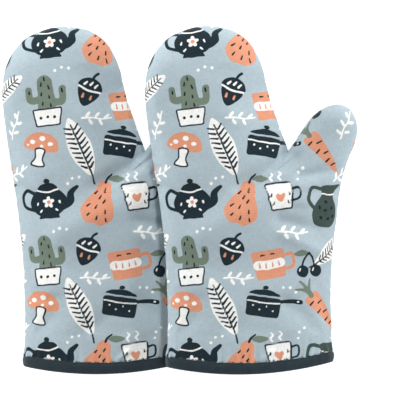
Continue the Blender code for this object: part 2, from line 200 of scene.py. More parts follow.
def in_scene(data: bpy.types.ID) -> bpy.types.Object:
    """Puts a mesh, a lamp or a camera in the scene as an object of its name."""
    item = bpy.data.objects.new(data.name, data)
    bpy.context.scene.collection.objects.link(item)
    return item


def add_object(mesh: bpy.types.Mesh, material: bpy.types.Material) -> bpy.types.Object:
    """Puts a mesh in the scene as a piece with its material."""
    piece = in_scene(mesh)
    piece.data.materials.append(material)
    return piece


def set_uv(mesh: bpy.types.Mesh, places: Points) -> None:
    """Gives a mesh a UV map from one place on the cloth for each vertex."""
    corner = np.empty(len(mesh.loops), np.int32)
    mesh.loops.foreach_get("vertex_index", corner)
    layer = mesh.uv_layers.new(name="cloth")
    layer.data.foreach_set("uv", places[corner].ravel().astype(np.float32))


def set_values(mesh: bpy.types.Mesh, name: str, values: Points) -> None:
    """Gives a mesh a named value for each vertex."""
    layer = mesh.attributes.new(name, "FLOAT", "POINT")
    layer.data.foreach_set("value", values.astype(np.float32))


# The glove's shape


class Side(Enum):
    """The two halves of a glove: the front, which faces up, and the back, which lies down."""

    FRONT = "front"
    BACK = "back"


@dataclass(frozen=True)
class GloveCut:
    """Real sizes of one glove, in metres, and its outline as shares of its width and length.

    top_power is the power that gives the wadded top its flatter curve, where a round one has
    2, and top_flat_share is how much of the way the top goes from the round curve to that one.
    """

    length: float = 280 * MM
    width: float = 171 * MM
    seam_height: float = 9 * MM
    cuff_crown: float = 21 * MM
    palm_crown: float = 25 * MM
    finger_crown: float = 22 * MM
    thumb_crown: float = 17 * MM
    top_power: float = 3.4
    top_flat_share: float = 0.6
    outer_cloth: float = 0.8 * MM
    wadding: float = 4 * MM
    hem_wadding: float = 1.5 * MM
    lining_cloth: float = 0.6 * MM
    clearance: float = 0.3 * MM
    thread: float = 0.5 * MM
    binding_width: float = 8 * MM
    binding_tape: float = 1.2 * MM
    cuff_width: float = 132.4 * MM
    hem_rise_left: float = 5.4 * MM
    hem_rise_right: float = 9.1 * MM
    hem_bow_reach: float = 75 * MM
    hem_taper: float = 14 * MM
    back_flat_share: float = float(np.sin(np.pi / 5))
    hand_side_shares: Shares = (
        *((-0.388, 0.153), (-0.394, 0.286), (-0.409, 0.4), (-0.434, 0.527)),
        *((-0.466, 0.646), (-0.49, 0.757), (-0.4942, 0.822)),
    )
    hand_tip_shares: Shares = (
        *((-0.469, 0.896), (-0.401, 0.956), (-0.31, 0.988), (-0.205, 1.0)),
        *((-0.088, 0.989), (-0.003, 0.954), (0.055, 0.889)),
    )
    hand_inner_shares: Shares = ((0.0815, 0.818), (0.112, 0.76), (0.148, 0.698), (0.184, 0.64))
    thumb_inner_shares: Shares = ((0.216, 0.67), (0.258, 0.71), (0.301, 0.743))
    thumb_tip_shares: Shares = ((0.357, 0.767), (0.42, 0.7755), (0.478, 0.759), (0.5058, 0.716))
    thumb_outer_shares: Shares = (
        *((0.498, 0.668), (0.465, 0.618), (0.439, 0.568), (0.4246, 0.521)),
        *((0.408, 0.43), (0.389, 0.325), (0.3835, 0.22), (0.387, 0.13)),
    )
    fork_shares: Shares = ((-0.018, 0.525),)
    palm_middle_shares: Shares = ((0, 0.143), (-0.003, 0.286), (-0.009, 0.411))
    hand_middle_shares: Shares = ((-0.082, 0.614), (-0.158, 0.714), (-0.205, 0.818))
    thumb_middle_shares: Shares = ((0.129, 0.541), (0.263, 0.6), (0.348, 0.661), (0.398, 0.707))

    @property
    def seam_gap(self) -> float:
        """Space between the two halves at the side seam of the inner layers."""
        return self.thread + self.clearance

    @property
    def wrap(self) -> float:
        """How far the cuff tape stands out from the cloth under it."""
        return self.clearance + self.binding_tape

    @property
    def cuff_band(self) -> float:
        """Height of the straight band of the cuff, above the hem."""
        return self.binding_width + self.thread + 3 * self.clearance

    @property
    def hem_wall(self) -> float:
        """Thickness of all the layers at the hem."""
        return self.outer_cloth + self.hem_wadding + self.lining_cloth + 2 * self.clearance

    def sized(self, shares: Shares) -> Points:
        """The points that the shares stand for, in metres."""
        return np.array(shares, float) * (self.width, self.length)


@dataclass
class GloveShape:
    """One glove's surfaces as grids: ribs run from the middle lines out to the side seam.

    A station is a place along the side seam, from the hem's left corner round the hand, the
    crotch and the thumb to its right corner. Each has a rib, and reach is the share of that
    rib that a point lies out along it. Only the printed face takes them all, and each count
    below is a whole number of coarse steps.
    """

    cut: GloveCut = field(default_factory=GloveCut)
    band_count: int = 8
    taper_count: int = 12
    palm_count: int = 128
    hand_count: int = 92
    hand_tip_count: int = 168
    thumb_count: int = 48
    thumb_tip_count: int = 80
    across: int = 92

    def __post_init__(self) -> None:
        """Works out the stations, the ribs' starts and what changes from rib to rib."""
        cut = self.cut
        self.outline = self._outline()
        self.middle, self.crown = self._middle()
        self.reach = np.sin(np.linspace(0, np.pi / 2, self.across + 1))
        ramp = np.concatenate([np.zeros(self.band_count), np.arange(self.taper_count)])
        self.full = np.ones(len(self.outline))
        self.full[: len(ramp)] = ramp / self.taper_count
        self.full[-len(ramp) - 1 :] = np.append(ramp, self.taper_count)[::-1] / self.taper_count
        above = self.middle[:, 1] - self.middle[0, 1] - cut.cuff_band
        self.bow = 1 - ease(above / cut.hem_bow_reach)
        self.bow_depth = (cut.hem_rise_left + cut.hem_rise_right) / 2
        runs = np.diff(self.outline, axis=0)
        runs /= np.linalg.norm(runs, axis=1)[:, None]
        along = np.vstack([runs[:1], runs[:-1] + runs[1:], runs[-1:]])
        along /= np.linalg.norm(along, axis=1)[:, None]
        self.out = np.stack([-along[:, 1], along[:, 0]], axis=1)
        self.out[[0, -1]] = ((-1, 0), (1, 0))

    def _cuff(self, x: float, rise: float) -> Points:
        """Stations up the cuff at x, from the hem to where the full wadding starts."""
        cut = self.cut
        band = np.linspace(0, cut.cuff_band, self.band_count, endpoint=False)
        taper = cut.cuff_band + np.linspace(0, cut.hem_taper, self.taper_count + 1)
        up = rise + cut.wrap + np.concatenate([band, taper])
        return np.stack([np.full_like(up, x), up], axis=1)

    def _outline(self) -> Points:
        """The side seam's stations, from the hem's left corner to its right one."""
        cut = self.cut
        left = self._cuff(-cut.cuff_width / 2, cut.hem_rise_left)
        right = self._cuff(cut.cuff_width / 2, cut.hem_rise_right)
        side, tip = cut.hand_side_shares, cut.hand_tip_shares
        hand = cut.sized((*side, *tip, *cut.hand_inner_shares))
        thumb_in, thumb_tip = cut.thumb_inner_shares, cut.thumb_tip_shares
        thumb = cut.sized((*thumb_in, *thumb_tip, *cut.thumb_outer_shares))
        hand_breaks = (0, 4, len(side), len(side) + len(tip) + 1, len(hand))
        hand_counts = (self.palm_count, self.hand_count, self.hand_tip_count, self.hand_count)
        tip_end = len(thumb_in) + len(thumb_tip)
        thumb_breaks = (0, len(thumb_in), tip_end, tip_end + 4, len(thumb) + 1)
        thumb_counts = (self.thumb_count, self.thumb_tip_count, self.thumb_count, self.palm_count)
        hand_knots = np.vstack([left[-1:], hand])
        thumb_knots = np.vstack([hand[-1:], thumb, right[-1:]])
        round_hand = divided(hand_knots, hand_breaks, hand_counts)
        round_thumb = divided(thumb_knots, thumb_breaks, thumb_counts)
        return np.vstack([left[:-1], round_hand, round_thumb, right[::-1]])

    def _middle(self) -> tuple[Points, Points]:
        """The start of each rib on the middle lines, and the front's height there."""
        cut = self.cut
        cuff = self._cuff(0, (cut.hem_rise_left + cut.hem_rise_right) / 2)
        fork = cut.sized(cut.fork_shares)
        palm_knots = np.vstack([cuff[-1:], cut.sized(cut.palm_middle_shares), fork])
        hand_knots = np.vstack([fork, cut.sized(cut.hand_middle_shares)])
        thumb_knots = np.vstack([fork, cut.sized(cut.thumb_middle_shares)])
        palm = divided(palm_knots, (0, 4), (self.palm_count,))
        hand = divided(hand_knots, (0, 3), (self.hand_count,))
        thumb = divided(thumb_knots, (0, 4), (self.thumb_count,))
        palm_rise = eased(cut.cuff_crown, cut.palm_crown, self.palm_count)[:-1]
        hand_rise = eased(cut.palm_crown, cut.finger_crown, self.hand_count)
        thumb_rise = eased(cut.palm_crown, cut.thumb_crown, self.thumb_count)
        tip, thumb_tip = self.hand_tip_count + 1, self.thumb_tip_count + 1
        at_tip = np.repeat(hand_knots[-1:], tip, axis=0)
        at_thumb_tip = np.repeat(thumb_knots[-1:], thumb_tip, axis=0)
        up = [cuff[:-1], palm, hand, at_tip, hand[:0:-1]]
        down = [thumb, at_thumb_tip, thumb[:0:-1], fork, palm[:0:-1], cuff[::-1]]
        middle = np.vstack(up + down)
        cuff_rise, tip_rise = np.full(len(cuff), cut.cuff_crown), np.full(tip, cut.finger_crown)
        thumb_tip_rise = np.full(thumb_tip, cut.thumb_crown)
        up = [cuff_rise[1:], palm_rise, hand_rise[:-1], tip_rise, hand_rise[-2:0:-1]]
        down = [thumb_rise[:-1], thumb_tip_rise, thumb_rise[-2:0:-1], [cut.palm_crown]]
        crown = np.concatenate(up + down + [palm_rise[:0:-1], cuff_rise])
        return middle, crown

    def fill(self) -> Points:
        """Thickness of the wadding at each station."""
        cut = self.cut
        return cut.hem_wadding + (cut.wadding - cut.hem_wadding) * self.full

    def layer(self, name: str) -> tuple[Points, Points]:
        """Depth of a layer's outer and inner face at each station."""
        cut = self.cut
        none = np.zeros_like(self.crown)
        wadding = cut.outer_cloth + cut.clearance
        lining = wadding + self.fill() + cut.clearance
        return {
            "panel": (none, none + cut.outer_cloth),
            "wadding": (none + wadding, wadding + self.fill()),
            "lining": (lining, lining + cut.lining_cloth),
        }[name]

    def surface(self, side: Side, depth: Points | float, seam_gap: float, every: int) -> Points:
        """Grid of points on the surface depth inside the outer face, in the glove's own frame.

        In plan a point lies the share reach of the way from its rib's start to the side seam,
        less what the hem's bow lowers it. The front's height is the crown times the root of one
        less reach squared at the cuff, and above it goes part of the way to the flatter root of
        one less a higher power of reach. The back is flat at first and then rises to the seam as
        the cuff does.

        Args:
            side: Which half of the glove.
            depth: How far inside the outer face, in metres, for all stations or for each.
            seam_gap: Space between the halves at the side seam.
            every: Takes each station and each step of reach, or each fourth.

        Returns:
            An array of stations by steps of reach by x, y and z.
        """
        cut, reach = self.cut, self.reach[::every]
        depth = np.broadcast_to(depth, self.crown.shape)[::every]
        ends = self.outline[::every] - depth[:, None] * self.out[::every]
        middle = self.middle[::every]
        plan = middle[:, None] + (ends - middle)[:, None] * reach[:, None]
        plan[..., 1] -= self.bow_depth * self.bow[::every, None] * (1 - reach**2)
        slack = (cut.seam_gap - seam_gap) / 2
        if side is Side.FRONT:
            height = self.crown[::every] - depth + slack
            round_top, flat_top = (np.sqrt(1 - reach**k) for k in (2, cut.top_power))
            flatter = cut.top_flat_share * self.full[::every, None] * (flat_top - round_top)
            z = seam_gap / 2 + height[:, None] * (round_top + flatter)
        else:
            curve = np.clip((reach - cut.back_flat_share) / (1 - cut.back_flat_share), 0, 1)
            floor = cut.seam_height - cut.wrap * (1 - self.full[::every])
            height = floor - depth - seam_gap / 2
            z = -seam_gap / 2 - height[:, None] * np.sqrt(1 - curve**2)
        return np.dstack([plan, z])

    def numbering(self, every: int) -> tuple[Numbers, Numbers]:
        """Vertex numbers for a grid, with places that coincide on a middle line made one.

        Args:
            every: Takes each station and each step of reach, or each fourth.

        Returns:
            The grid of vertex numbers, and for each vertex on a middle line its first station.
        """
        middle = np.round(self.middle[::every] / (0.01 * MM))
        _, first, which = np.unique(middle, axis=0, return_index=True, return_inverse=True)
        across = len(self.reach[::every])
        ids = np.empty((len(middle), across), np.int64)
        ids[:, 0] = which.reshape(-1)
        rest = np.arange(len(middle) * (across - 1)).reshape(len(middle), -1)
        ids[:, 1:] = len(first) + rest
        return ids, first

    @staticmethod
    def listed(grid: Points, first: Numbers) -> Points:
        """A grid's values in the order of its vertex numbers."""
        return np.concatenate([grid[first, 0], grid[:, 1:].reshape(-1, *grid.shape[2:])])

    def flat_cloth(self, side: Side, name: str) -> Points:
        """Where each point of a layer's coarse grid lay on the cloth before it was sewn.

        A point starts where it is seen from above. Then the cloth is let go flat: each link
        between two neighbours, also across a cell, pulls or pushes both by the half of what it
        is too long or too short, and a point takes the mean of its links' moves, over and over.

        Args:
            side: Which half of the glove.
            name: The layer's name.

        Returns:
            A grid of places on the flat cloth, in metres.
        """
        rounds, eagerness = 500, 1.5
        near, far = self.layer(name)
        grid = self.surface(side, (near + far) / 2, self.cut.seam_gap, COARSE)
        ids, first = self.numbering(COARSE)
        sewn = self.listed(grid, first)
        places = sewn[:, :2]
        across = (ids[:, :-1], ids[:-1], ids[:-1, :-1], ids[:-1, 1:])
        along = (ids[:, 1:], ids[1:], ids[1:, 1:], ids[1:, :-1])
        a, b = (np.concatenate([part.ravel() for part in ends]) for ends in (across, along))
        a, b = a[a != b], b[a != b]
        wanted = np.linalg.norm(sewn[b] - sewn[a], axis=1)
        ends = np.concatenate([a, b])
        share = eagerness / np.bincount(ends)
        for _ in range(rounds):
            link = places[b] - places[a]
            now = np.maximum(np.linalg.norm(link, axis=1), 1e-9)
            pull = link * ((now - wanted) / now / 2)[:, None]
            both = np.concatenate([pull, -pull])
            moves = [np.bincount(ends, both[:, k]) * share for k in range(2)]
            places = places + np.stack(moves, axis=1)
        return places[ids]


# How the gloves lie


@dataclass
class Lie:
    """How a glove lies: how flat its thumb side is pressed and how far it rides up.

    Attributes:
        cut: The glove's sizes.
        press: What is left of the front's height on the thumb side.
        lift: How far the hand's far edge is lifted, in metres.
        place: The glove's own origin in the model's frame.
        press_start: Where across the glove the pressing sets in.
        press_end: Where it is full.
        drape_flat_share: How far across the glove its flat side reaches, as a share of its width.
        drape_power: How slowly the glove rises beside its flat side.
    """

    cut: GloveCut
    press: float
    lift: float
    place: tuple[float, float]
    press_start: float = 18 * MM
    press_end: float = 52 * MM
    drape_flat_share: float = 0.33
    drape_power: float = 1.2

    def drape(self, x: Points) -> Points:
        """Share of the lift at x: none over the flat side, all of it at the hand's far edge."""
        far = min(self.cut.hand_side_shares)[0] * self.cut.width
        flat = self.drape_flat_share * self.cut.width
        return np.clip((flat - x) / (flat - far), 0, None) ** self.drape_power

    def placed(self, points: Points) -> Points:
        """Points of the glove's own frame, bent as it lies and moved to its place."""
        points = np.array(points)
        across = points[..., 0]
        pressed = ease((across - self.press_start) / (self.press_end - self.press_start))
        above = np.clip(points[..., 2] - self.cut.seam_gap / 2, 0, None)
        points[..., 2] -= (1 - self.press) * pressed * above
        # What would sink into the table is flattened on it.
        points[..., 2] = np.maximum(points[..., 2] + self.cut.seam_height, 0)
        points[..., 2] += self.lift * self.drape(across)
        points[..., :2] += self.place
        return points


# The print


# Points for each stretch of a printed curve between two of its knots
DRAWN_STEPS = 8


class Ink(Enum):
    """The print's inks, in the order in which they are laid on the ground colour."""

    CORAL = "coral"
    SAGE = "sage"
    MOSS = "moss"
    MILK = "milk"
    CHARCOAL = "charcoal"
    CHALK = "chalk"
    BLUSH = "blush"


def run_distance(places: Points, line: Points, widths: Points) -> Points:
    """Distance in millimetres from places to a line of points that has a width.

    The distance to each straight stretch is that to its nearest point, less half the width
    there, and the least of them counts.

    Args:
        places: The places asked about.
        line: The line's points.
        widths: The line's width at each point.

    Returns:
        One distance for each place, negative inside the line's width.
    """
    start, step = line[:-1], np.diff(line, axis=0)
    away = places[:, None] - start
    share = (away * step).sum(axis=2) / np.maximum((step**2).sum(axis=1), 1e-9)
    share = np.clip(share, 0, 1)
    gap = np.linalg.norm(away - share[..., None] * step, axis=2)
    half = (widths[:-1] + share * np.diff(widths)) / 2
    return (gap - half).min(axis=1)


@dataclass(frozen=True)
class Oval:
    """A printed oval, in millimetres from the motif's centre, turned left in degrees."""

    ink: Ink
    x: float
    y: float
    rx: float
    ry: float
    turn: float = 0

    def distance(self, places: Points) -> Points:
        """Distance to the oval's edge, negative inside, from its equation and its slope."""
        local = turned(places - (self.x, self.y), self.turn)
        radii = np.array((self.rx, self.ry))
        value = np.linalg.norm(local / radii, axis=1)
        slope = np.maximum(np.linalg.norm(local / radii**2, axis=1), 1e-6)
        return value * (value - 1) / slope


@dataclass(frozen=True)
class Patch:
    """A printed patch with a closed outline, smooth or straight between its knots.

    swell is how far it spreads past its knots, which rounds its corners. outline is the width
    of a line round its edge instead of a filled patch, or 0. All are in millimetres.
    """

    ink: Ink
    knots: tuple[tuple[float, float], ...]
    smooth: bool = True
    swell: float = 0
    outline: float = 0

    def distance(self, places: Points) -> Points:
        """Distance to the patch, negative where it is printed.

        A place is inside where a line from it to the right crosses the outline an odd number
        of times.
        """
        knots = np.array(self.knots, float)
        line = smooth_curve(knots, DRAWN_STEPS, closed=True) if self.smooth else knots
        line = np.vstack([line, line[:1]])
        gap = run_distance(places, line, np.zeros(len(line)))
        low, high = line[:-1], line[1:]
        x, y = places[:, :1], places[:, 1:]
        spans = (low[:, 1] > y) != (high[:, 1] > y)
        rise = np.where(high[:, 1] == low[:, 1], 1, high[:, 1] - low[:, 1])
        crossing = low[:, 0] + (high[:, 0] - low[:, 0]) * (y - low[:, 1]) / rise
        inside = (spans & (x < crossing)).sum(axis=1) % 2 == 1
        edge = np.where(inside, -gap, gap) - self.swell
        return np.abs(edge) - self.outline / 2 if self.outline else edge


@dataclass(frozen=True)
class Stroke:
    """A printed brush stroke along a smooth line, in millimetres from the motif's centre."""

    ink: Ink
    knots: tuple[tuple[float, float], ...]
    width: float
    end_width: float | None = None

    def distance(self, places: Points) -> Points:
        """Distance to the stroke's edge, negative inside it."""
        knots = np.array(self.knots, float)
        line = smooth_curve(knots, DRAWN_STEPS) if len(knots) > 2 else knots
        end = self.width if self.end_width is None else self.end_width
        return run_distance(places, line, np.linspace(self.width, end, len(line)))


Mark = Oval | Patch | Stroke


def dashes(ink: Ink, spots: Iterable[tuple[float, float, float]], length: float) -> list[Mark]:
    """Short strokes at the given places, each with its own turn in degrees."""
    marks: list[Mark] = []
    for x, y, turn in spots:
        dx, dy = np.cos(np.radians(turn)) * length / 2, np.sin(np.radians(turn)) * length / 2
        ends = ((x - dx, y - dy), (x + dx, y + dy))
        marks.append(Stroke(ink, ends, width=1.6, end_width=1.1))
    return marks


def teapot() -> list[Mark]:
    """A round dark teapot with a pale flower on its belly."""
    petals = [
        Oval(Ink.CHALK, 2.9 * np.cos(a), -2.5 + 2.9 * np.sin(a), 2.0, 1.5, np.degrees(a))
        for a in np.arange(5) * 2 * np.pi / 5 + 0.3
    ]
    return [
        Oval(Ink.CHARCOAL, 0, -2.5, 15, 12),
        Patch(Ink.CHARCOAL, ((-8, 8), (-5.5, 11.6), (0, 13), (5.5, 11.6), (8, 8), (0, 6))),
        Oval(Ink.CHARCOAL, 0, 14.6, 2.3, 2),
        Patch(Ink.CHARCOAL, ((-8, -15), (8, -15), (6, -11), (-6, -11)), False, 0.6),
        Stroke(Ink.CHARCOAL, ((10, -6), (17, -3), (18.5, 3.5), (23.5, 8)), 8.5, 3),
        Stroke(Ink.CHARCOAL, ((-11, 5), (-18, 8), (-22, 3), (-20, -5), (-12, -8.5)), 3, 2.6),
        Stroke(Ink.CHALK, ((-8.6, 7.4), (0, 5.6), (8.6, 7.4)), 1.3),
        *petals,
        Oval(Ink.BLUSH, 0, -2.5, 1.6, 1.6),
        *dashes(Ink.CHALK, ((-9, -3, 70), (9, -3, -70), (-6.5, -9, 40), (6.5, -9, -40)), 2),
    ]


def saucepan() -> list[Mark]:
    """A dark saucepan with its lid on and a long handle."""
    dots = [Oval(Ink.CHALK, x, y, 0.95, 0.95) for x, y in ((-9, -2), (-3, -5), (3, -2), (9, -5))]
    return [
        Patch(Ink.CHARCOAL, ((-12, -9), (12, -9), (13, 4), (-13, 4)), False, 2.4),
        Stroke(Ink.CHARCOAL, ((13, 3), (22, 5.5), (32, 6)), 3, 4.2),
        Patch(Ink.CHARCOAL, ((-14, 8.6), (-8, 12), (0, 13.2), (8, 12), (14, 8.6), (0, 8))),
        Oval(Ink.CHARCOAL, 0, 15, 2.6, 1.7),
        Stroke(Ink.CHALK, ((-14.6, 2.2), (0, 1.2), (14.6, 2.2)), 1.4),
        Oval(Ink.CHALK, 30, 6, 1.2, 0.8),
        *dots,
    ]


def striped_leaf() -> list[Mark]:
    """A long pale leaf with dark bars on both sides of its rib."""
    bars: list[Mark] = []
    for y in np.arange(-19, 20, 4.4):
        half = 8.6 * np.sqrt(1 - (y / 27) ** 2)
        bars.append(Stroke(Ink.CHARCOAL, ((1.7, y), (half * 0.86, y + 3.2)), 1.8, 1.3))
        bars.append(Stroke(Ink.CHARCOAL, ((-1.7, y + 1), (-half * 0.86, y + 4.2)), 1.8, 1.3))
    sides = ((7, -14), (9.4, 0), (6.6, 15), (0.5, 27), (-6.6, 15), (-9.4, 0), (-7, -14))
    return [
        Patch(Ink.MILK, ((0, -26), *sides)),
        Stroke(Ink.CHARCOAL, ((-1.5, -33), (0, -24), (0.4, 0), (0, 21)), 1.6, 1.2),
        *bars,
    ]


def pear() -> list[Mark]:
    """A coral pear with dark dashes, a stem and a leaf."""
    half = ((4.6, 14), (6.4, 7), (11, -1.5), (13, -11), (6.5, -18.5))
    other = tuple((-x, y) for x, y in reversed(half))
    spots = ((-5, 6, 60), (1, 9, 80), (3, 1, 70), (-8, -5, 50), (-2, -5, 80))
    more = ((6, -7, 100), (-6, -12, 60), (1, -13, 90), (8, -13, 120), (-1, 3, 75))
    return [
        Patch(Ink.CORAL, ((0, 16.5), *half, (0, -18), *other)),
        Stroke(Ink.CHARCOAL, ((0, 15), (0.8, 19), (3.2, 22.5)), 2, 1.5),
        Patch(Ink.SAGE, ((1.5, 18), (6, 22.5), (14, 22), (8.5, 17.2))),
        *dashes(Ink.CHARCOAL, (*spots, *more), 3),
    ]


def carrot() -> list[Mark]:
    """A coral carrot with short dark rings and a green top."""
    sides = ((-6.6, 12), (-4.6, -2), (-1.6, -20), (0.4, -24), (2, -18), (5.2, -2), (6.6, 12))
    spots = ((-3.4, 9, 8), (3, 5.5, -8), (-2.4, 0.5, 8), (2.2, -3.5, -8), (-0.8, -9, 5))
    return [
        Patch(Ink.CORAL, (*sides, (3.4, 15.4), (-3.4, 15.4))),
        Stroke(Ink.SAGE, ((0, 14), (-1, 20), (-7, 26)), 3.6, 1.6),
        Stroke(Ink.SAGE, ((0, 14), (0.6, 22), (0, 29)), 3.8, 1.6),
        Stroke(Ink.SAGE, ((0, 14), (2, 20), (7.6, 25)), 3.6, 1.6),
        *dashes(Ink.CHARCOAL, (*spots, (1, -14, -5)), 4),
    ]


def cactus() -> list[Mark]:
    """A green cactus with two arms in a pale pot."""
    spots = ((-3, 13, 80), (3, 10, 100), (-3.4, 5, 80), (2.6, 2, 95), (-13.4, 7, 90))
    more = ((13.4, 6, 90), (-3, -3, 80), (3.4, -5, 95), (0, 17, 90))
    pot = ((-8.5, -21), (8.5, -21), (10.5, -9), (-10.5, -9))
    dots = [Oval(Ink.CHARCOAL, x, -15, 1.3, 1.3) for x in (-5.5, 0, 5.5)]
    return [
        Stroke(Ink.SAGE, ((0, -9), (0.3, 3), (0, 13.5)), 14.5, 12.5),
        Stroke(Ink.SAGE, ((-5, 0), (-12.6, 0.6), (-13.6, 9)), 6.2, 5.4),
        Stroke(Ink.SAGE, ((5, -3), (12.6, -2.6), (13.6, 7)), 6.2, 5.4),
        Patch(Ink.MILK, pot, False, 1),
        Patch(Ink.CHARCOAL, pot, False, 1, 1.3),
        *dots,
        *dashes(Ink.CHARCOAL, (*spots, *more), 2.4),
    ]


def cup() -> list[Mark]:
    """A pale cup drawn in dark lines, with steam over it."""
    body = ((-9, 8), (9, 8), (6.6, -9), (-6.6, -9))
    return [
        Patch(Ink.MILK, body, False, 1.6),
        Patch(Ink.CHARCOAL, body, False, 1.6, 1.4),
        Stroke(Ink.CHARCOAL, ((10.2, 5), (16, 5), (15, -2.6), (8.6, -4.4)), 1.7),
        Patch(Ink.BLUSH, ((0, -4.6), (3.6, 0), (2.6, 3), (0, 1.6), (-2.6, 3), (-3.6, 0))),
        *dashes(Ink.CHARCOAL, ((-7, 2, 80), (7, 2, 100), (-5.6, -5, 70), (5.6, -5, 110)), 2.4),
        Stroke(Ink.CHALK, ((-4, 12), (-5.4, 14.4), (-3, 16.6), (-4.4, 19)), 1.8, 1.4),
        Stroke(Ink.CHALK, ((3, 12), (1.6, 14.4), (4, 16.6), (2.6, 19)), 1.8, 1.4),
    ]


def mug() -> list[Mark]:
    """A wide coral mug with a broad pale band."""
    bars = ((-7.6, -0.4, 90), (-2.6, -1, 90), (2.6, -1, 90), (7.6, -0.4, 90))
    return [
        Patch(Ink.CORAL, ((-11, 9), (11, 9), (9.5, -10), (-9.5, -10)), False, 2),
        Stroke(Ink.CORAL, ((12, 5), (19, 5), (18.4, -4.6), (10.4, -6)), 2.6),
        Stroke(Ink.CHALK, ((-9, -0.2), (0, -1), (9, -0.2)), 7.4),
        *dashes(Ink.BLUSH, bars, 3.6),
        *dashes(Ink.CHARCOAL, ((-4, 7.4, 0), (4, 7.4, 0)), 3),
    ]


def jug() -> list[Mark]:
    """A green jug with dark spots and a pale band."""
    left = ((-6.6, 14), (-5.6, 7), (-10.6, -2), (-11, -12), (-6, -18))
    right = ((6, -18), (11, -12), (10.6, -2), (5.6, 7), (7, 12), (12.6, 17))
    spots = ((-6, -3), (0, -5), (5.6, -2.6), (-3.4, -11), (3.4, -11.4), (-0.6, 2), (7.6, -9))
    return [
        Patch(Ink.MOSS, (*left, *right, (2, 16))),
        Stroke(Ink.MOSS, ((-5.6, 12), (-14.6, 12), (-16, 2), (-9.6, -5)), 3, 2.6),
        Stroke(Ink.CHALK, ((-5.4, 8.6), (0, 7.8), (5.8, 8.6)), 1.2),
        *(Oval(Ink.CHARCOAL, x, y, 1.7, 1.2, 12 * x) for x, y in spots),
    ]


def mushroom() -> list[Mark]:
    """A mushroom with a coral cap and pale spots."""
    cap = ((-14, 1), (-12, 8), (-5, 13), (5, 13), (12, 8), (14, 1), (7, -1.4), (-7, -1.4))
    spots = ((-7.4, 5, 2.1), (0, 8.6, 2.4), (7, 5.4, 2), (0.6, 2.6, 1.4), (-10.6, 2, 1))
    stem = ((-3.6, 0), (-3, -7), (-5, -13), (5, -13), (3, -7), (3.6, 0))
    return [
        Patch(Ink.CORAL, cap),
        Patch(Ink.MILK, stem),
        Patch(Ink.CHARCOAL, stem, outline=1.3),
        *(Oval(Ink.CHALK, x, y, r, r * 0.85) for x, y, r in spots),
    ]


def cherries() -> list[Mark]:
    """Two small dark cherries on their stalks."""
    return [
        Oval(Ink.CHARCOAL, -5, -5, 4.7, 4.6),
        Oval(Ink.CHARCOAL, 5.4, -6.4, 4.7, 4.6),
        Stroke(Ink.CHARCOAL, ((-4.6, -1), (-2.4, 4), (2, 8.6)), 1.4),
        Stroke(Ink.CHARCOAL, ((5, -2.4), (4.4, 3.6), (2, 8.6)), 1.4),
        Patch(Ink.SAGE, ((1.6, 8.4), (-3.4, 11.6), (-9.6, 9.4), (-4.4, 6.4))),
        Stroke(Ink.CHALK, ((-7.4, -4.4), (-6.4, -2.6)), 1.1),
        Stroke(Ink.CHALK, ((3, -5.8), (4, -4)), 1.1),
    ]


def acorn() -> list[Mark]:
    """A small dark acorn with a hatched cap."""
    nut = ((-6.4, 1), (-5.4, -5), (0, -10.6), (5.4, -5), (6.4, 1))
    cap = ((-7.8, 1.4), (-6, 6), (0, 8.4), (6, 6), (7.8, 1.4), (0, 0.4))
    return [
        Patch(Ink.CHARCOAL, nut),
        Patch(Ink.CHARCOAL, cap),
        Stroke(Ink.CHARCOAL, ((0, 7.6), (0.4, 10), (1.8, 12)), 1.7),
        Stroke(Ink.CHALK, ((-7.2, 0.9), (0, 0), (7.2, 0.9)), 1.3),
        *dashes(Ink.CHALK, ((-3.6, 4, 60), (0, 4.8, 60), (3.6, 4, 60)), 2.2),
        *dashes(Ink.BLUSH, ((-2.6, -4, 90), (2.6, -4, 90)), 2.2),
    ]


def sprig() -> list[Mark]:
    """A white sprig of small leaves."""
    leaves = [
        Oval(Ink.CHALK, x, y, 2.6, 1.15, turn)
        for x, y, turn in ((-7, 2.4, 60), (-4, -3, -50), (0, 3.2, 55), (3.4, -2.2, -50), (7, 3, 50))
    ]
    return [Stroke(Ink.CHALK, ((-11, -1), (-4, 0.4), (3, 0.2), (11, 2.4)), 1.4, 1.1), *leaves]


def crumbs() -> list[Mark]:
    """Three small white dots in a row."""
    return [Oval(Ink.CHALK, x, y, 1, 1) for x, y in ((-4, 0), (0, 1.4), (4, 0))]


@dataclass(frozen=True)
class Placing:
    """Where a motif stands in the print's repeat: its place in millimetres, turn and size."""

    marks: list[Mark]
    x: float
    y: float
    turn: float = 0
    size: float = 1


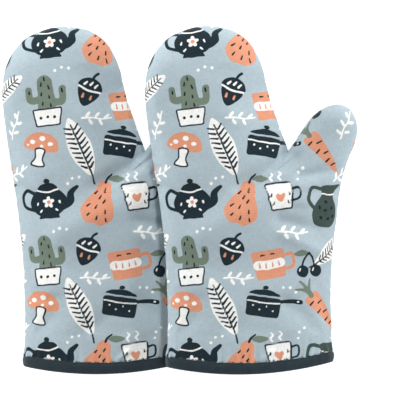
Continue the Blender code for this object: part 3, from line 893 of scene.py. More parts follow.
@dataclass(frozen=True)
class KitchenPrint:
    """The cotton's print: kitchen things and garden produce, repeated down and across the cloth.

    All sizes are in millimetres. repeat is the width and height of one repeat, and no motif
    reaches further than spread from its centre. Edges wander by hand_wobble, as in a drawn
    print, with bends about wobble_size apart. Distances to an ink are told up to most.
    """

    repeat: tuple[float, float] = (150, 128)
    spread: float = 36
    hand_wobble: float = 0.22
    wobble_size: float = 7
    most: float = 3

    def placings(self) -> list[Placing]:
        """The motifs of one repeat: each one's place, turn and size."""
        table = (
            (teapot, 24, 21, 5),
            (pear, 65, 19, -16),
            (cup, 93, 23.5, 8, 0.98),
            (jug, 131, 17, -6),
            (mushroom, 18, 61, -10),
            (striped_leaf, 49, 62, 24, 0.95),
            (saucepan, 80.5, 64.5, -8, 0.9),
            (carrot, 127, 60, 38),
            (cactus, 22, 101, 6, 0.96),
            (acorn, 55, 108, -20, 1.25),
            (mug, 85, 97, 10),
            (cherries, 116, 97, 10, 1.05),
            (striped_leaf, 137, 108, -52, 0.74),
            (sprig, 147, 41, 20, 1.05),
            (sprig, 61, 85, -8, 1.05),
            (sprig, 103, 122, -10, 1.1),
            (sprig, 147, 80, 62, 1.05),
            (crumbs, 44, 36, 30, 1.3),
            (crumbs, 101, 76, -20, 1.3),
            (crumbs, 34, 124, 10, 1.3),
            (crumbs, 110, 41, 60, 1.2),
        )
        return [Placing(motif(), *where) for motif, *where in table]

    def distances(self, places: Points) -> dict[Ink, Points]:
        """How far each place on the flat cloth is from each ink.

        Args:
            places: Places on the cloth, in millimetres, one a row.

        Returns:
            For each ink the distance to its nearest edge, negative where it is printed, held
            within the longest one so that it reads smoothly between places.
        """
        repeat = np.array(self.repeat)
        wobble = [soft_noise(*places.T, self.wobble_size, seed) for seed in (3, 4)]
        places = places + self.hand_wobble * np.stack(wobble, axis=1)
        found = {ink: np.full(len(places), float(self.most)) for ink in Ink}
        for placing in self.placings():
            away = places - (placing.x, placing.y)
            away -= repeat * np.round(away / repeat)
            near = np.flatnonzero((away**2).sum(axis=1) < (self.spread * placing.size) ** 2)
            local = turned(away[near], placing.turn) / placing.size
            for mark in placing.marks:
                here = mark.distance(local) * placing.size
                found[mark.ink][near] = np.minimum(found[mark.ink][near], here)
        return {ink: np.clip(value, -self.most, self.most) for ink, value in found.items()}


# Finishes


Source = bpy.types.Node | bpy.types.NodeSocket


def linear(code: str) -> tuple[float, float, float, float]:
    """The linear colour of an sRGB hex code such as "b6c7cf"."""
    shares = np.array([int(code[k : k + 2], 16) for k in (0, 2, 4)]) / 255
    low, high = shares / 12.92, ((shares + 0.055) / 1.055) ** 2.4
    red, green, blue = np.where(shares <= 0.04045, low, high)
    return float(red), float(green), float(blue), 1.0


def add_node(
    tree: bpy.types.NodeTree, kind: str, inputs: dict[Any, Any], **settings: Any
) -> bpy.types.Node:
    """Adds a node, with its settings, and fills its inputs with values or with links.

    Args:
        tree: The node tree.
        kind: The node's type.
        inputs: For each input, by name or number, a value, the output that feeds it, or the
            node whose first output feeds it.
        settings: The node's own settings.

    Returns:
        The new node.
    """
    node = tree.nodes.new(kind)
    for name, value in settings.items():
        setattr(node, name, value)
    for key, value in inputs.items():
        value = value.outputs[0] if isinstance(value, bpy.types.Node) else value
        if isinstance(value, bpy.types.NodeSocket):
            tree.links.new(value, node.inputs[key])
        else:
            node.inputs[key].default_value = value
    return node


def new_material(name: str) -> tuple[bpy.types.Material, bpy.types.NodeTree]:
    """A material with only its shader and its output, and its node tree."""
    material = bpy.data.materials.new(name)
    material.use_nodes = True
    return material, material.node_tree


def completed(
    material: bpy.types.Material,
    colour: bpy.types.NodeSocket,
    height: Source,
    depth: float,
    relief: float,
    sockets: dict[str, Any],
) -> bpy.types.Material:
    """Completes a material: its colour, its relief and the shader's plain values.

    Args:
        material: The material, with its pattern made.
        colour: The output that holds its colour.
        height: The height of its relief, from 0 to 1.
        depth: How far the relief stands up, in metres.
        relief: The share of the relief's slope that shows.
        sockets: Values for the shader's sockets, by name.

    Returns:
        The same material.
    """
    tree = material.node_tree
    shader = next(node for node in tree.nodes if node.type == "BSDF_PRINCIPLED")
    raised = {"Height": height, "Distance": depth, "Strength": relief}
    tree.links.new(colour, shader.inputs["Base Color"])
    tree.links.new(add_node(tree, "ShaderNodeBump", raised).outputs[0], shader.inputs["Normal"])
    for name, value in sockets.items():
        shader.inputs[name].default_value = value
    return material


def woven_height(
    tree: bpy.types.NodeTree, places: Source, pitch: float, turn: float
) -> bpy.types.Node:
    """Height of a plain weave: the product of two sines, one across each set of threads.

    Args:
        tree: The node tree.
        places: The place on the cloth, in metres.
        pitch: The distance between two threads, in metres.
        turn: The threads' turn on the cloth, in radians.

    Returns:
        A node that gives 0 where a thread dives and 1 where one lies on top.
    """
    laid = add_node(
        tree,
        "ShaderNodeMapping",
        {"Vector": places, "Rotation": (0, 0, turn), "Scale": (np.pi / pitch,) * 3},
    )
    split = add_node(tree, "ShaderNodeSeparateXYZ", {0: laid})
    warp, weft = (
        add_node(tree, "ShaderNodeMath", {0: split.outputs[k]}, operation="SINE")
        for k in ("X", "Y")
    )
    both = add_node(tree, "ShaderNodeMath", {0: warp, 1: weft}, operation="MULTIPLY")
    halved = {0: both, 1: 0.5, 2: 0.5}
    return add_node(tree, "ShaderNodeMath", halved, operation="MULTIPLY_ADD")


@dataclass(frozen=True)
class PrintedCotton:
    """Plain-woven cotton, screen-printed: matt, with a faint bloom of fibres along its folds.

    The threads lie 0.4 mm apart. They are drawn a pitch of 1 mm apart, because finer ones don't
    show, and rise is how far they stand up. ink_edge is half the width over which an ink's edge
    fades, and ragged_edge is how far the grain moves it, both in millimetres. cloud_shades and
    streak_shades are the darkest and the palest place of the dye and of the threads.
    """

    ground: str = "aebec6"
    core: str = "dfe6e9"
    bloom: str = "e9f0f3"
    inks: tuple[tuple[Ink, str], ...] = (
        (Ink.CORAL, "de9777"),
        (Ink.SAGE, "728172"),
        (Ink.MOSS, "3c4b46"),
        (Ink.MILK, "f4f4f1"),
        (Ink.CHARCOAL, "0d2029"),
        (Ink.CHALK, "f6f6f3"),
        (Ink.BLUSH, "de9777"),
    )
    ink_edge: float = 0.16
    ragged_edge: float = 0.1
    cloud_shades: tuple[float, float] = (0.955, 1.03)
    streak_shades: tuple[float, float] = (0.955, 1.045)
    pitch: float = 1.0 * MM
    rise: float = 0.05 * MM

    def inked(
        self, tree: bpy.types.NodeTree, colour: bpy.types.NodeSocket, grain: bpy.types.Node
    ) -> bpy.types.NodeSocket:
        """Lays the inks on the ground, one after the other, with slightly ragged edges.

        Args:
            tree: The node tree.
            colour: The ground's colour.
            grain: The grain that makes the edges ragged.

        Returns:
            The printed colour.
        """
        far, edge, full_cover = self.ragged_edge, self.ink_edge, 0.99
        rough = {"Value": grain, 1: 0.25, 2: 0.75, 3: -far, 4: far}
        ragged = add_node(tree, "ShaderNodeMapRange", rough)
        for ink, code in self.inks:
            gap = add_node(tree, "ShaderNodeAttribute", {}, attribute_name=ink.value)
            gaps = {0: gap.outputs["Fac"], 1: ragged}
            moved = add_node(tree, "ShaderNodeMath", gaps, operation="ADD")
            fade = {"Value": moved, 1: edge, 2: -edge, 3: 0.0, 4: full_cover}
            cover = add_node(tree, "ShaderNodeMapRange", fade)
            layers = {0: cover, 6: colour, 7: linear(code)}
            colour = add_node(tree, "ShaderNodeMix", layers, data_type="RGBA").outputs[2]
        return colour

    def material(self) -> bpy.types.Material:
        """The printed cloth's material. It reads one value a vertex for each ink."""
        material, tree = new_material("screen_printed_cotton")
        places = add_node(tree, "ShaderNodeUVMap", {}, uv_map="cloth")
        # The grain is about 1.1 mm across, and the clouds of the dye are about 45 mm.
        grain, cloud = (
            add_node(tree, "ShaderNodeTexNoise", {"Vector": places, "Scale": cells, "Detail": rich})
            for cells, rich in ((900, 3), (22, 2))
        )
        dark, pale = self.cloud_shades
        tones = {"Value": cloud, 1: 0.3, 2: 0.7, 3: dark, 4: pale}
        dyed = {0: 1.0, 6: linear(self.ground), 7: add_node(tree, "ShaderNodeMapRange", tones)}
        shaded = {"data_type": "RGBA", "blend_type": "MULTIPLY"}
        colour = add_node(tree, "ShaderNodeMix", dyed, **shaded).outputs[2]
        colour = self.inked(tree, colour, grain)
        # Thicker stretches of the threads, 4.5 mm long and 1 mm wide, show as faint streaks.
        dark, pale = self.streak_shades
        for stretch in ((220, 1000, 1), (1000, 220, 1)):
            laid = add_node(tree, "ShaderNodeMapping", {"Vector": places, "Scale": stretch})
            slub = add_node(tree, "ShaderNodeTexNoise", {"Vector": laid, "Scale": 1, "Detail": 1})
            tones = {"Value": slub, 1: 0.3, 2: 0.7, 3: dark, 4: pale}
            streaked = {0: 1.0, 6: colour, 7: add_node(tree, "ShaderNodeMapRange", tones)}
            colour = add_node(tree, "ShaderNodeMix", streaked, **shaded).outputs[2]
        # Fibres that stand out of the ink let the cloth's pale core show as fine specks.
        fleck = {"Value": grain, 1: 0.6, 2: 0.8, 3: 0.0, 4: 0.06}
        share = add_node(tree, "ShaderNodeMapRange", fleck)
        flecked = {0: share, 6: colour, 7: linear(self.core)}
        colour = add_node(tree, "ShaderNodeMix", flecked, data_type="RGBA").outputs[2]
        weave = woven_height(tree, places, self.pitch, 0)
        sheen = {"Sheen Weight": 0.4, "Sheen Roughness": 0.35, "Sheen Tint": linear(self.bloom)}
        sockets = {"Roughness": 0.82, "Specular IOR Level": 0.15, **sheen}
        return completed(material, colour, weave, self.rise, relief=0.6, sockets=sockets)


@dataclass(frozen=True)
class PlainCloth:
    """A dyed woven cotton: matt, its threads crossing at right angles.

    worn is the paler colour of its rubbed threads. pitch is the distance between two threads,
    drawn two or three times too coarse, and rise is how far they stand up. turn is their turn
    on the piece, in radians: an eighth turn for a bias tape.
    """

    name: str
    colour: str
    worn: str
    pitch: float
    rise: float
    turn: float = 0

    def material(self) -> bpy.types.Material:
        """The plain cloth's material, paler where threads stand up and the wear is strong."""
        material, tree = new_material(self.name)
        places = add_node(tree, "ShaderNodeUVMap", {}, uv_map="cloth")
        weave = woven_height(tree, places, self.pitch, self.turn)
        # The wear changes every 6 mm or so.
        cloudy = {"Vector": places, "Scale": 160, "Detail": 4}
        rub = {0: weave, 1: add_node(tree, "ShaderNodeTexNoise", cloudy)}
        rubbed = add_node(tree, "ShaderNodeMath", rub, operation="MULTIPLY")
        wear = {"Value": rubbed, 1: 0.15, 2: 0.6, 3: 0.0, 4: 1.0}
        share = add_node(tree, "ShaderNodeMapRange", wear)
        shades = {0: share, 6: linear(self.colour), 7: linear(self.worn)}
        colour = add_node(tree, "ShaderNodeMix", shades, data_type="RGBA").outputs[2]
        sockets = {"Roughness": 0.85, "Specular IOR Level": 0.25, "Sheen Weight": 0.2}
        return completed(material, colour, weave, self.rise, relief=0.8, sockets=sockets)


@dataclass(frozen=True)
class NeedledWadding:
    """Needle-punched polyester wadding: white, soft, with a felted, matt surface."""

    colour: str = "eae8e2"
    painted_hollow_shade: str = "cfccc4"

    def material(self) -> bpy.types.Material:
        """The wadding's material, with painted shade: darker in the hollows between its tufts."""
        material, tree = new_material("needled_wadding")
        places = add_node(tree, "ShaderNodeTexCoord", {}).outputs["Object"]
        # Fibres mat together in tufts about 3 mm across.
        felted = {"Vector": places, "Scale": 330, "Detail": 5}
        tufts = add_node(tree, "ShaderNodeTexNoise", felted)
        # Painted shade: the colour is darker where the tufts' relief is low, in the hollows between
        # them.
        shades = {0: tufts, 6: linear(self.painted_hollow_shade), 7: linear(self.colour)}
        colour = add_node(tree, "ShaderNodeMix", shades, data_type="RGBA").outputs[2]
        sockets = {"Roughness": 0.95}
        return completed(material, colour, tufts, depth=0.6 * MM, relief=0.8, sockets=sockets)


@dataclass(frozen=True)
class SpunThread:
    """Spun polyester sewing thread: two plies twisted together, with a slight shine."""

    name: str
    colour: str
    painted_ply_shade: str

    def material(self) -> bpy.types.Material:
        """The thread's material, with painted shade darker between its plies."""
        material, tree = new_material(self.name)
        places = add_node(tree, "ShaderNodeUVMap", {}, uv_map="cloth")
        # The plies wind round the thread once in about 0.8 mm.
        twist = {"Vector": places, "Scale": 400, "Distortion": 0.3}
        wave = add_node(tree, "ShaderNodeTexWave", twist, bands_direction="DIAGONAL")
        plies = wave.outputs["Fac"]
        # Painted shade: the colour is darker where the plies' relief is low, in the grooves between
        # them.
        shades = {0: plies, 6: linear(self.painted_ply_shade), 7: linear(self.colour)}
        colour = add_node(tree, "ShaderNodeMix", shades, data_type="RGBA").outputs[2]
        sockets = {"Roughness": 0.6}
        return completed(material, colour, plies, depth=0.1 * MM, relief=0.7, sockets=sockets)


def all_finishes() -> Materials:
    """Every finish of the pair by name, made once and shared by the two gloves."""
    bias = float(np.pi / 4)
    kinds = {
        "cotton": PrintedCotton(),
        "lining": PlainCloth(
            "plain_cotton_lining", "c3c7c8", worn="d8dbdb", pitch=0.9 * MM, rise=0.06 * MM
        ),
        "wadding": NeedledWadding(),
        "tape": PlainCloth(
            "cotton_bias_tape", "17262d", worn="273840", pitch=0.8 * MM, rise=0.08 * MM, turn=bias
        ),
        "seam_thread": SpunThread("spun_thread_grey_blue", "9fb1ba", "8397a1"),
        "lining_thread": SpunThread("spun_thread_grey", "c3c7c8", "a9adae"),
        "tape_thread": SpunThread("spun_thread_slate", "2b3d45", "1b292f"),
    }
    return {name: kind.material() for name, kind in kinds.items()}


# How the wadding and the seams shape the cloth


def grid_normals(grid: Points, side: Side) -> Points:
    """Outward unit vectors of a glove's surface: the cross product of the grid's directions."""
    along, across = np.gradient(grid, axis=0), np.gradient(grid, axis=1)
    normal = np.cross(along, across) if side is Side.FRONT else np.cross(across, along)
    normal /= np.maximum(np.linalg.norm(normal, axis=2, keepdims=True), 1e-12)
    normal[:, 0] = normal[:, 1]
    return normal


def finer(grid: Points) -> Points:
    """The fine grid of a coarse one, by smooth curves along its rows and then its columns."""
    rows, columns, size = grid.shape
    tall = smooth_curve(grid.reshape(rows, -1), COARSE).reshape(-1, columns, size)
    wide = smooth_curve(tall.transpose(1, 0, 2).reshape(columns, -1), COARSE)
    return wide.reshape(-1, len(tall), size).transpose(1, 0, 2)


@dataclass(frozen=True)
class Swelling:
    """A short cloth simulation that fills the shell as its wadding does.

    The shell starts a little slim and its cloth a little long, its side seam and cuff are held,
    and pressure from inside swells it. Nothing moves further than a set length.

    Attributes:
        slim: The starting height of the front as a share of the real one.
        slack: How much longer the cloth is than the start.
        pressure: The push from inside.
        stiffness: How much the cloth resists bending.
        quality: Steps of the simulation for each frame.
        frames: How many frames it runs.
        most: The longest move that is kept, in metres.
        cuff_fade: Over what height above the cuff's band the moves set in.
    """

    slim: float = 0.955
    slack: float = 0.002
    pressure: float = 2.0
    stiffness: float = 2.0
    quality: int = 6
    frames: int = 20
    most: float = 4 * MM
    cuff_fade: float = 45 * MM

    def moves(self, shape: GloveShape) -> dict[Side, Points]:
        """How far each point of the shell moves from the drawn shape, on the fine grid.

        Args:
            shape: The glove's shape.

        Returns:
            For each side a grid of moves in the glove's own frame.
        """
        drawn = {side: shape.surface(side, 0, 0, COARSE) for side in Side}
        ids, first = shape.numbering(COARSE)
        count = int(ids.max()) + 1
        under = np.where(np.arange(ids.shape[1]) == ids.shape[1] - 1, ids, ids + count)
        start = np.zeros((2 * count, 3))
        start[count:] = shape.listed(drawn[Side.BACK], first)
        start[:count] = shape.listed(drawn[Side.FRONT], first)
        start[:count, 2] *= self.slim
        mesh = make_mesh("swelling", start, grid_faces(ids, True), grid_faces(under))
        shell = in_scene(mesh)
        held = shell.vertex_groups.new(name="held")
        cuff = (shape.band_count + shape.taper_count // 2) // COARSE
        flat = shape.reach[::COARSE] < shape.cut.back_flat_share
        kept = [ids[:, -1], ids[: cuff + 1], ids[-cuff - 1 :], under[: cuff + 1]]
        kept += [under[-cuff - 1 :], under[:, flat]]
        held.add(np.unique(np.concatenate([k.ravel() for k in kept])).tolist(), 1, "REPLACE")
        cloth = shell.modifiers.new("swelling", "CLOTH")
        cloth.settings.vertex_group_mass = held.name
        cloth.settings.quality = self.quality
        cloth.settings.use_pressure = True
        cloth.settings.uniform_pressure_force = self.pressure
        cloth.settings.shrink_min = -self.slack
        cloth.settings.effector_weights.gravity = 0
        cloth.settings.bending_stiffness = self.stiffness
        cloth.collision_settings.use_collision = False
        cloth.point_cache.frame_start = 1
        cloth.point_cache.frame_end = self.frames
        for number in range(1, self.frames + 1):
            bpy.context.scene.frame_set(number)
        swollen = shell.evaluated_get(bpy.context.evaluated_depsgraph_get()).data
        ended = np.empty(len(swollen.vertices) * 3, np.float32)
        swollen.vertices.foreach_get("co", ended)
        ended = ended.reshape(-1, 3).astype(float)
        bpy.data.objects.remove(shell, do_unlink=True)
        bpy.context.scene.frame_set(1)
        found = {}
        for side, numbers in ((Side.FRONT, ids), (Side.BACK, under)):
            move = ended[numbers] - drawn[side]
            length = np.linalg.norm(move, axis=2, keepdims=True)
            found[side] = finer(move * np.minimum(1, self.most / np.maximum(length, 1e-9)))
            logger.info("%s swells by up to %.1f mm", side.value, length.max() / MM)
        return found


@dataclass(frozen=True)
class Crease:
    """A soft ridge or valley of the cloth along a line, in millimetres of the glove's frame.

    Attributes:
        knots: Points of its line.
        height: How far it stands up, or how deep it goes where negative.
        width: From its middle to where it has a third of its height.
    """

    knots: tuple[tuple[float, float], ...]
    height: float
    width: float

    def rise(self, places: Points) -> Points:
        """Height at each place, in metres: a bell across the line, and none three widths off."""
        line = smooth_curve(np.array(self.knots, float), 5)
        away = 3 * self.width
        low, high = line.min(axis=0) - away, line.max(axis=0) + away
        near = ((places / MM > low) & (places / MM < high)).all(axis=-1)
        gap = run_distance(places[near] / MM, line, np.zeros(len(line)))
        rise = np.zeros(near.shape)
        rise[near] = self.height * MM * np.exp(-((gap / self.width) ** 2))
        return rise


@dataclass(frozen=True)
class Folds:
    """The cloth's own folds, as moves of the outer face in the glove's frame.

    Attributes:
        cut: The glove's sizes.
        swell: Height of the broad, soft unevenness of the wadding, in metres.
        swell_size: Usual distance between two of its swells up and down the glove.
        seam_pull: How far the side seam draws the cloth in.
        seam_roll: Over what height the cloth rolls in to the seam.
        seam_bulge: How far the padded edge stands out beside the seam.
        seam_ripple: How much the pull and the bulge vary along the seam, as a share.
        seam_ripple_size: Usual distance between two tight places of the seam.
        pucker: Height of the puckers where the cuff tape gathers the cloth.
        pucker_size: Usual distance between two puckers.
        pucker_reach: How far up from the tape they run.
        creases: The front's soft folds.
        pleats: The small pleat over the tape: a ridge with a short valley beside it.
    """

    cut: GloveCut
    swell: float = 0.6 * MM
    swell_size: float = 34 * MM
    seam_pull: float = 0.9 * MM
    seam_roll: float = 1.6 * MM
    seam_bulge: float = 0.3 * MM
    seam_ripple: float = 0.5
    seam_ripple_size: float = 9 * MM
    pucker: float = 2.0 * MM
    pucker_size: float = 7 * MM
    pucker_reach: float = 11 * MM
    creases: tuple[Crease, ...] = (
        # From the crotch down across the hand, with a ridge under it
        Crease(((33, 176), (24, 169), (14, 165), (2, 158), (-8, 151)), -3.0, 6.5),
        Crease(((36, 172), (22, 164), (6, 158), (-14, 150), (-40, 142)), -2.0, 17),
        Crease(((46, 137), (26, 140), (8, 135), (-12, 126), (-36, 116)), 2.7, 11),
        Crease(((-16, 208), (4, 206), (22, 200)), 1.4, 10),
        # Across the palm
        Crease(((-56, 92), (-20, 91), (20, 87), (46, 86)), -2.5, 14),
        Crease(((-14, 38), (6, 50), (26, 58)), -1.8, 7),
        Crease(((4, 14), (24, 30), (50, 47)), 2.0, 8),
        # Under the thumb
        Crease(((24, 124), (36, 122), (52, 118)), -2.2, 5),
        Crease(((28, 112), (46, 104), (66, 95)), 2.0, 5),
        Crease(((36, 134), (48, 132), (60, 128)), -1.2, 4),
        # Across the thumb's root
        Crease(((40, 160), (54, 162), (70, 166)), -2.2, 4),
        Crease(((42, 151), (56, 153), (68, 156)), 1.0, 4),
        # Beside the outer seam
        Crease(((-66, 66), (-52, 60), (-40, 62)), -1.2, 4),
        Crease(((-72, 150), (-58, 146), (-46, 148)), -1.0, 5),
    )
    pleats: tuple[Crease, ...] = (
        Crease(((8, 9), (12, 14), (18, 19)), 1.4, 1.7),
        Crease(((11.5, 8), (15.5, 13), (21, 17)), -0.5, 1.3),
    )

    def broad(self, shape: GloveShape, grid: Points, side: Side) -> Points:
        """Moves that all the layers share: soft unevenness, dimples and the pull of the seam.

        The unevenness is smooth noise, longer across the glove than up it. It and the creases
        fade out towards the seam and the cuff.

        Args:
            shape: The glove's shape.
            grid: The glove's outer face, stations by steps of reach.
            side: Which half of the glove it is.

        Returns:
            A move for each point of the grid.
        """
        x, y, height = grid[..., 0], grid[..., 1], np.abs(grid[..., 2])
        above = y - self.cut.cuff_band - self.cut.hem_rise_right - self.cut.wrap
        fade_power, cuff_fade, bulge_rolls = 8, 16 * MM, 6
        inner = (1 - shape.reach**fade_power) * ease(above / cuff_fade)
        normal = grid_normals(grid, side)
        if side is Side.FRONT:
            stretch, small, small_stretch, finer_by = 1.8, 0.3, 1.5, 2.2
            rise = self.swell * soft_noise(x / stretch, y, self.swell_size, 11)
            size = self.swell_size / finer_by
            rise += small * self.swell * soft_noise(x / small_stretch, y, size, 12)
            rise += sum(crease.rise(grid[..., :2]) for crease in self.creases)
        else:
            dent, dent_size = 0.35, 40 * MM
            rise = -dent * self.swell * (1 + soft_noise(x, y, dent_size, 13))
        moves = normal * (rise * inner)[..., None]
        pull = self.seam_pull * np.exp(-((height / self.seam_roll) ** 2))
        pull -= self.seam_bulge * np.exp(-((height / (bulge_rolls * self.seam_roll)) ** 2))
        tight = soft_noise(*shape.outline.T, self.seam_ripple_size, 14)
        pull *= (shape.full * (1 + self.seam_ripple * tight))[:, None]
        moves[..., :2] -= pull[..., None] * shape.out[:, None]
        return moves

    def fine(self, shape: GloveShape, grid: Points, side: Side) -> Points:
        """Moves of the printed cloth alone: puckers over the cuff tape and one small pleat.

        The puckers are a sine along the hem, raised to stand above the cloth. Smooth noise
        makes their spacing and their height uneven, and they fade upwards from the tape.

        Args:
            shape: The glove's shape.
            grid: The glove's outer face.
            side: Which half of the glove it is.

        Returns:
            A move for each point of the grid.
        """
        steps = np.linalg.norm(np.diff(grid, axis=1), axis=2)
        out = np.concatenate([np.zeros((len(grid), 1)), np.cumsum(steps, axis=1)], axis=1)
        left = np.arange(len(grid))[:, None] < len(grid) // 2
        along = np.where(left, -out, out)
        hem_left, hem_right = (
            np.interp(np.abs(grid[..., 0]), np.abs(hem[:, 0]), hem[:, 1])
            for hem in (grid[0], grid[-1])
        )
        above = grid[..., 1] - np.where(left, hem_left, hem_right) - self.cut.binding_width
        decay, under_tape, pleat_start = 1.8, 3 * MM, 2.5 * MM
        fade = np.exp(-np.clip(above, 0, None) / self.pucker_reach * decay)
        fade = fade * ease(1 + above / under_tape)
        near_cuff = 1 - ease((above - 2 * self.pucker_reach) / self.pucker_reach)
        wander_size, wander, strength_size, least, most = 22 * MM, 2.2, 26 * MM, 0.1, 1.2
        seed = 21 if side is Side.FRONT else 22
        phase = wander * soft_noise(along, above, wander_size, seed)
        wave = np.sin(2 * np.pi * along / self.pucker_size + phase)
        strong = 0.55 + 0.45 * soft_noise(along, 0 * above, strength_size, seed + 5)
        rise = self.pucker * np.clip(strong, least, most) * (0.5 + 0.5 * wave) * fade * near_cuff
        if side is Side.FRONT:
            pleat = sum(crease.rise(grid[..., :2]) for crease in self.pleats)
            rise += pleat * ease(above / pleat_start)
        return grid_normals(grid, side) * rise[..., None]


# The glove's pieces


def out_of_hem(hem: Points) -> Points:
    """Vectors out of the cuff: square to a closed line round it, with no part along y."""
    step = np.roll(hem, -1, axis=0) - np.roll(hem, 1, axis=0)
    along = step / np.maximum(np.linalg.norm(step, axis=1, keepdims=True), 1e-12)
    return np.stack([-along[:, 2], 0 * along[:, 0], along[:, 0]], axis=1)


def stitch_mesh(
    name: str, line: Points, outward: Points, pitch: float, length: float, thread: float
) -> bpy.types.Mesh:
    """A row of stitches along a line, each a short bowed bar with rounded ends.

    A bar's middle follows the line for the stitch's length. Its radius is half the thread's
    times the root of a half circle over its length, and its ends dip by half a thread.

    Args:
        name: The mesh's name.
        line: The seam's points, in order.
        outward: A unit vector out of the cloth at each of them.
        pitch: From the start of one stitch to the start of the next.
        length: The length of a stitch.
        thread: The thread's diameter.

    Returns:
        One mesh of all the stitches, with the place on the thread as its UV map.
    """
    along = run_length(line)
    count = int(along[-1] // pitch)
    corners, end_radius = 6, 0.2
    share = np.array((-1.0, -0.86, -0.4, 0.4, 0.86, 1.0))
    middle = (np.arange(count) + 0.5) * along[-1] / count
    at = middle[:, None] + share * length / 2
    spine, out = (
        np.stack([np.interp(at, along, v[:, k]) for k in range(3)], axis=-1)
        for v in (line, outward)
    )
    tangent = np.gradient(spine, axis=1)
    tangent /= np.linalg.norm(tangent, axis=2, keepdims=True)
    across = np.cross(tangent, out)
    across /= np.linalg.norm(across, axis=2, keepdims=True)
    out = np.cross(across, tangent)
    spine = spine - out * (np.abs(share) ** 3 * thread / 2)[:, None]
    radius = thread / 2 * np.sqrt(np.clip(1 + end_radius**2 - share**2, 0, 1))
    angle = np.arange(corners) * 2 * np.pi / corners
    ring = across[:, :, None] * np.cos(angle)[:, None] + out[:, :, None] * np.sin(angle)[:, None]
    points = spine[:, :, None] + ring * radius[:, None, None]
    ids = np.arange(points[..., 0].size).reshape(points.shape[:3])
    around = np.roll(ids, -1, axis=2)
    sides = np.stack([ids[:, :-1], around[:, :-1], around[:, 1:], ids[:, 1:]], axis=-1)
    caps = np.concatenate([ids[:, 0, ::-1], ids[:, -1]])
    mesh = make_mesh(name, points.reshape(-1, 3), sides.reshape(-1, 4), caps)
    places = np.stack(np.broadcast_arrays(at[..., None], angle * thread / 2), axis=-1)
    set_uv(mesh, places.reshape(-1, 2))
    return mesh


